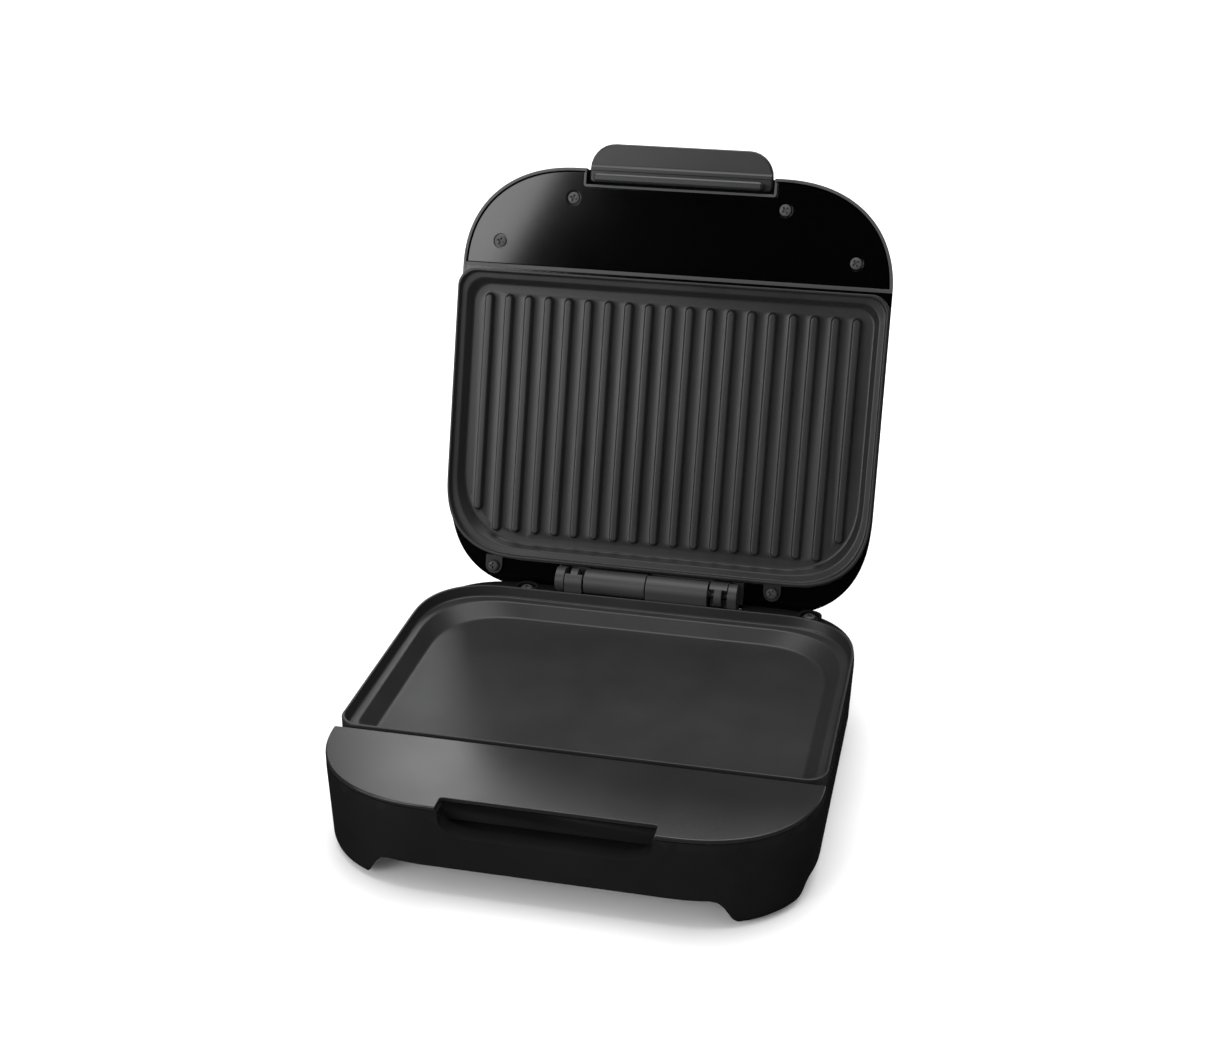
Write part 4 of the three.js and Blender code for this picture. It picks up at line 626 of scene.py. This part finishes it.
def lid_plate():
    """Ribbed plate: rim, narrow ledge, and ribs with filleted feet and rounded ends."""
    dish = plate_dish("lid_plate", GRILL_PROFILE)
    combine(dish, "UNION", grill_ribs(*half_box("lid_plate")))
    stands_for(dish, "lid_plate")


# Screws

ROUND_STEPS = 48
SHANK_RADIUS = 1.5
SHANK_TIP_SHARE = 0.6
SHANK_TIP_LENGTH = 0.7
PAN_CROWN = 1.5
BEZEL_CROWN = 0.9
HEAD_CHAMFER = (0.1, 0.12)
# From the head's rim to its flat top: share of the radius, and share of the crown below the top
HEAD_CURVE = ((1, 0.62), (0.95, 0.36), (0.8, 0.12), (0.6, 0))
RECESS_REACH = 1.9
RECESS_HALF_WIDTH = 0.5
RECESS_DEPTH = 0.9
# Radians for each letter of a screw's name, so that the crosses stand at unlike angles
RECESS_TURN = 0.6


def faces_down(node):
    """Whether a screw's head points away from the cooking side of its half."""
    return node.startswith(("cover", "handle")) or "hinge_screw" in node


def screw(node):
    """Pan-head screw with a cross recess, its head and shank from the CAD node's own box."""
    low, high = half_box(node)
    body = BODY_OF[node]
    centre = (low + high) / 2
    radius = (high.x - low.x) / 2
    length = high.z - low.z
    crown = BEZEL_CROWN if node.startswith("bezel") else PAN_CROWN
    profile = [
        (SHANK_RADIUS * SHANK_TIP_SHARE, -length),
        (SHANK_RADIUS, -length + SHANK_TIP_LENGTH),
        (SHANK_RADIUS, -crown),
        (radius - HEAD_CHAMFER[0], -crown),
        (radius, -crown + HEAD_CHAMFER[1]),
        *((radius * share, -crown * depth) for share, depth in HEAD_CURVE),
    ]
    angles = [2 * math.pi * k / ROUND_STEPS for k in range(ROUND_STEPS)]
    rings = []
    for reach, height in profile:
        rings.append([(reach * math.cos(a), reach * math.sin(a), height) for a in angles])
    bm = bmesh.new()
    skin(bm, rings)
    cross = bmesh.new()
    for angle in (0, math.pi / 2):
        arm = bmesh.ops.create_cube(cross, size=2)["verts"]
        reach = Matrix.Diagonal((RECESS_REACH, RECESS_HALF_WIDTH, RECESS_DEPTH, 1))
        bmesh.ops.transform(cross, matrix=Matrix.Rotation(angle, 4, "Z") @ reach, verts=arm)
    turn = Matrix.Rotation(RECESS_TURN * len(node), 4, "Z")
    top = Vector((centre.x, centre.y, low.z if faces_down(node) else high.z))
    flip = Matrix.Rotation(math.pi, 4, "X") if faces_down(node) else Matrix.Identity(4)
    place = PLACES[body] @ Matrix.Translation(top * MM) @ flip @ turn
    piece = finish_piece(node + "_turned", bm, place, MATERIALS["screw_steel"], body)
    cutter = finish_piece("cross", cross, place, MATERIALS["screw_steel"], body)
    combine(piece, "DIFFERENCE", cutter, tool_overlaps=True)
    stands_for(piece, node)


# Pieces

# Widths of the broken edges on the nodes that keep their own shape
EDGE_WIDTHS = {
    "base_shell": 0.35,
    "base_apron": 0.15,
    "base_frame": 0.25,
    "base_hinge": 0.35,
    "bottom_cover": 0.3,
    "cord_gland": 0.3,
    "lid_shell": 0.35,
    "lid_bezel": 0.15,
    "lid_frame": 0.25,
    "lid_hinge": 0.35,
    "lid_handle": 0.15,
    "terminal_block": 0.3,
    "hinge_pin": 0.3,
    "foot_pad_front_left": 0.3,
    "foot_pad_front_right": 0.3,
    "foot_pad_rear_left": 0.3,
    "foot_pad_rear_right": 0.3,
    "base_thermostat": 0.3,
    "pilot_lens_red": 0.25,
    "pilot_lens_green": 0.25,
}

base_plate()
lid_plate()
for node_name, edge_width in EDGE_WIDTHS.items():
    dressed(node_name, edge_width)
for node_name in sorted(frame["nodes"]):
    if "_screw_" in node_name:
        screw(node_name)
for node_name, node_object in frame["nodes"].items():
    node_object.data.materials.clear()
    node_object.data.materials.append(MATERIALS[SLOT_OF[node_name]])


# Studio, in metres

FLOOR_HALF = 9
# The floor lies this far under the feet, so that their faces don't coincide
FLOOR_DROP = 0.0002
SURROUND_TONE = (0.95, 0.95, 0.95, 1)
SURROUND_STRENGTH = 0.85
# The glossy pieces mirror the softboxes, and next to nothing of the surround
MIRRORED_STRENGTH = 0.01
# Name, place, target, width, height, watts, and tilt in degrees
SOFTBOXES = (
    ("front left", (-1.33, -2.0, 1.23), (-1.33, 0, 1.23), 1.4, 1.1, 25, -22),
    ("overhead", (0, 0.6, 2.4), (0, 0.6, 0), 2.4, 2.4, 60, 0),
    ("backdrop", (-0.43, 1.9, 1.3), (0, 0, 0.1), 0.9, 0.7, 5.8, 0),
    ("low backdrop", (0, 1.95, 0.42), (0, 0, 0.42), 5, 0.8, 12, 0),
    ("left", (-1.55, -1.4, 0.3), (0, 0, 0.2), 1.2, 1.0, 14, 0),
)


def look_at(thing, target):
    direction = target - thing.location
    thing.rotation_euler = direction.to_track_quat("-Z", "Y").to_euler()


def camera():
    data = bpy.data.cameras.new("camera")
    data.sensor_fit = "HORIZONTAL"
    data.sensor_width = SENSOR
    data.lens = SENSOR * FOCAL_PIXELS / PHOTO_WIDTH
    data.clip_end = CLIP_END_M
    thing = new_object("camera", data)
    thing.location = EYE
    look_at(thing, AIM)
    bpy.context.scene.camera = thing


def floor():
    bm = bmesh.new()
    bmesh.ops.create_grid(bm, x_segments=2, y_segments=2, size=FLOOR_HALF)
    mesh = bpy.data.meshes.new("floor")
    bm.to_mesh(mesh)
    bm.free()
    mesh.materials.append(grained("floor", *FLOOR_FINISH))
    thing = new_object("floor", mesh)
    thing.location.z = CAD_BOX[0][2] - FLOOR_DROP
    thing.visible_glossy = False


def softbox(name, place, target, width, height, watts, tilt_degrees):
    data = bpy.data.lights.new(name, "AREA")
    data.shape = "RECTANGLE"
    data.size = width
    data.size_y = height
    data.energy = watts
    thing = new_object(name, data)
    thing.location = place
    look_at(thing, Vector(target))
    thing.rotation_euler.rotate_axis("Z", math.radians(tilt_degrees))
    thing.visible_camera = False


def surround():
    """Pale world that lights the scene evenly and hardly shows in reflections."""
    world = bpy.data.worlds.new("studio")
    world.use_nodes = True
    nodes = world.node_tree.nodes
    links = world.node_tree.links
    seen = nodes["Background"]
    mirrored = nodes.new("ShaderNodeBackground")
    for background, strength in ((seen, SURROUND_STRENGTH), (mirrored, MIRRORED_STRENGTH)):
        background.inputs["Color"].default_value = SURROUND_TONE
        background.inputs["Strength"].default_value = strength
    rays = nodes.new("ShaderNodeLightPath")
    mix = nodes.new("ShaderNodeMixShader")
    links.new(rays.outputs["Is Glossy Ray"], mix.inputs["Fac"])
    links.new(seen.outputs["Background"], mix.inputs[1])
    links.new(mirrored.outputs["Background"], mix.inputs[2])
    links.new(mix.outputs["Shader"], nodes["World Output"].inputs["Surface"])
    bpy.context.scene.world = world


camera()
floor()
surround()
bpy.context.scene.view_settings.view_transform = "Standard"
for box in SOFTBOXES:
    softbox(*box)
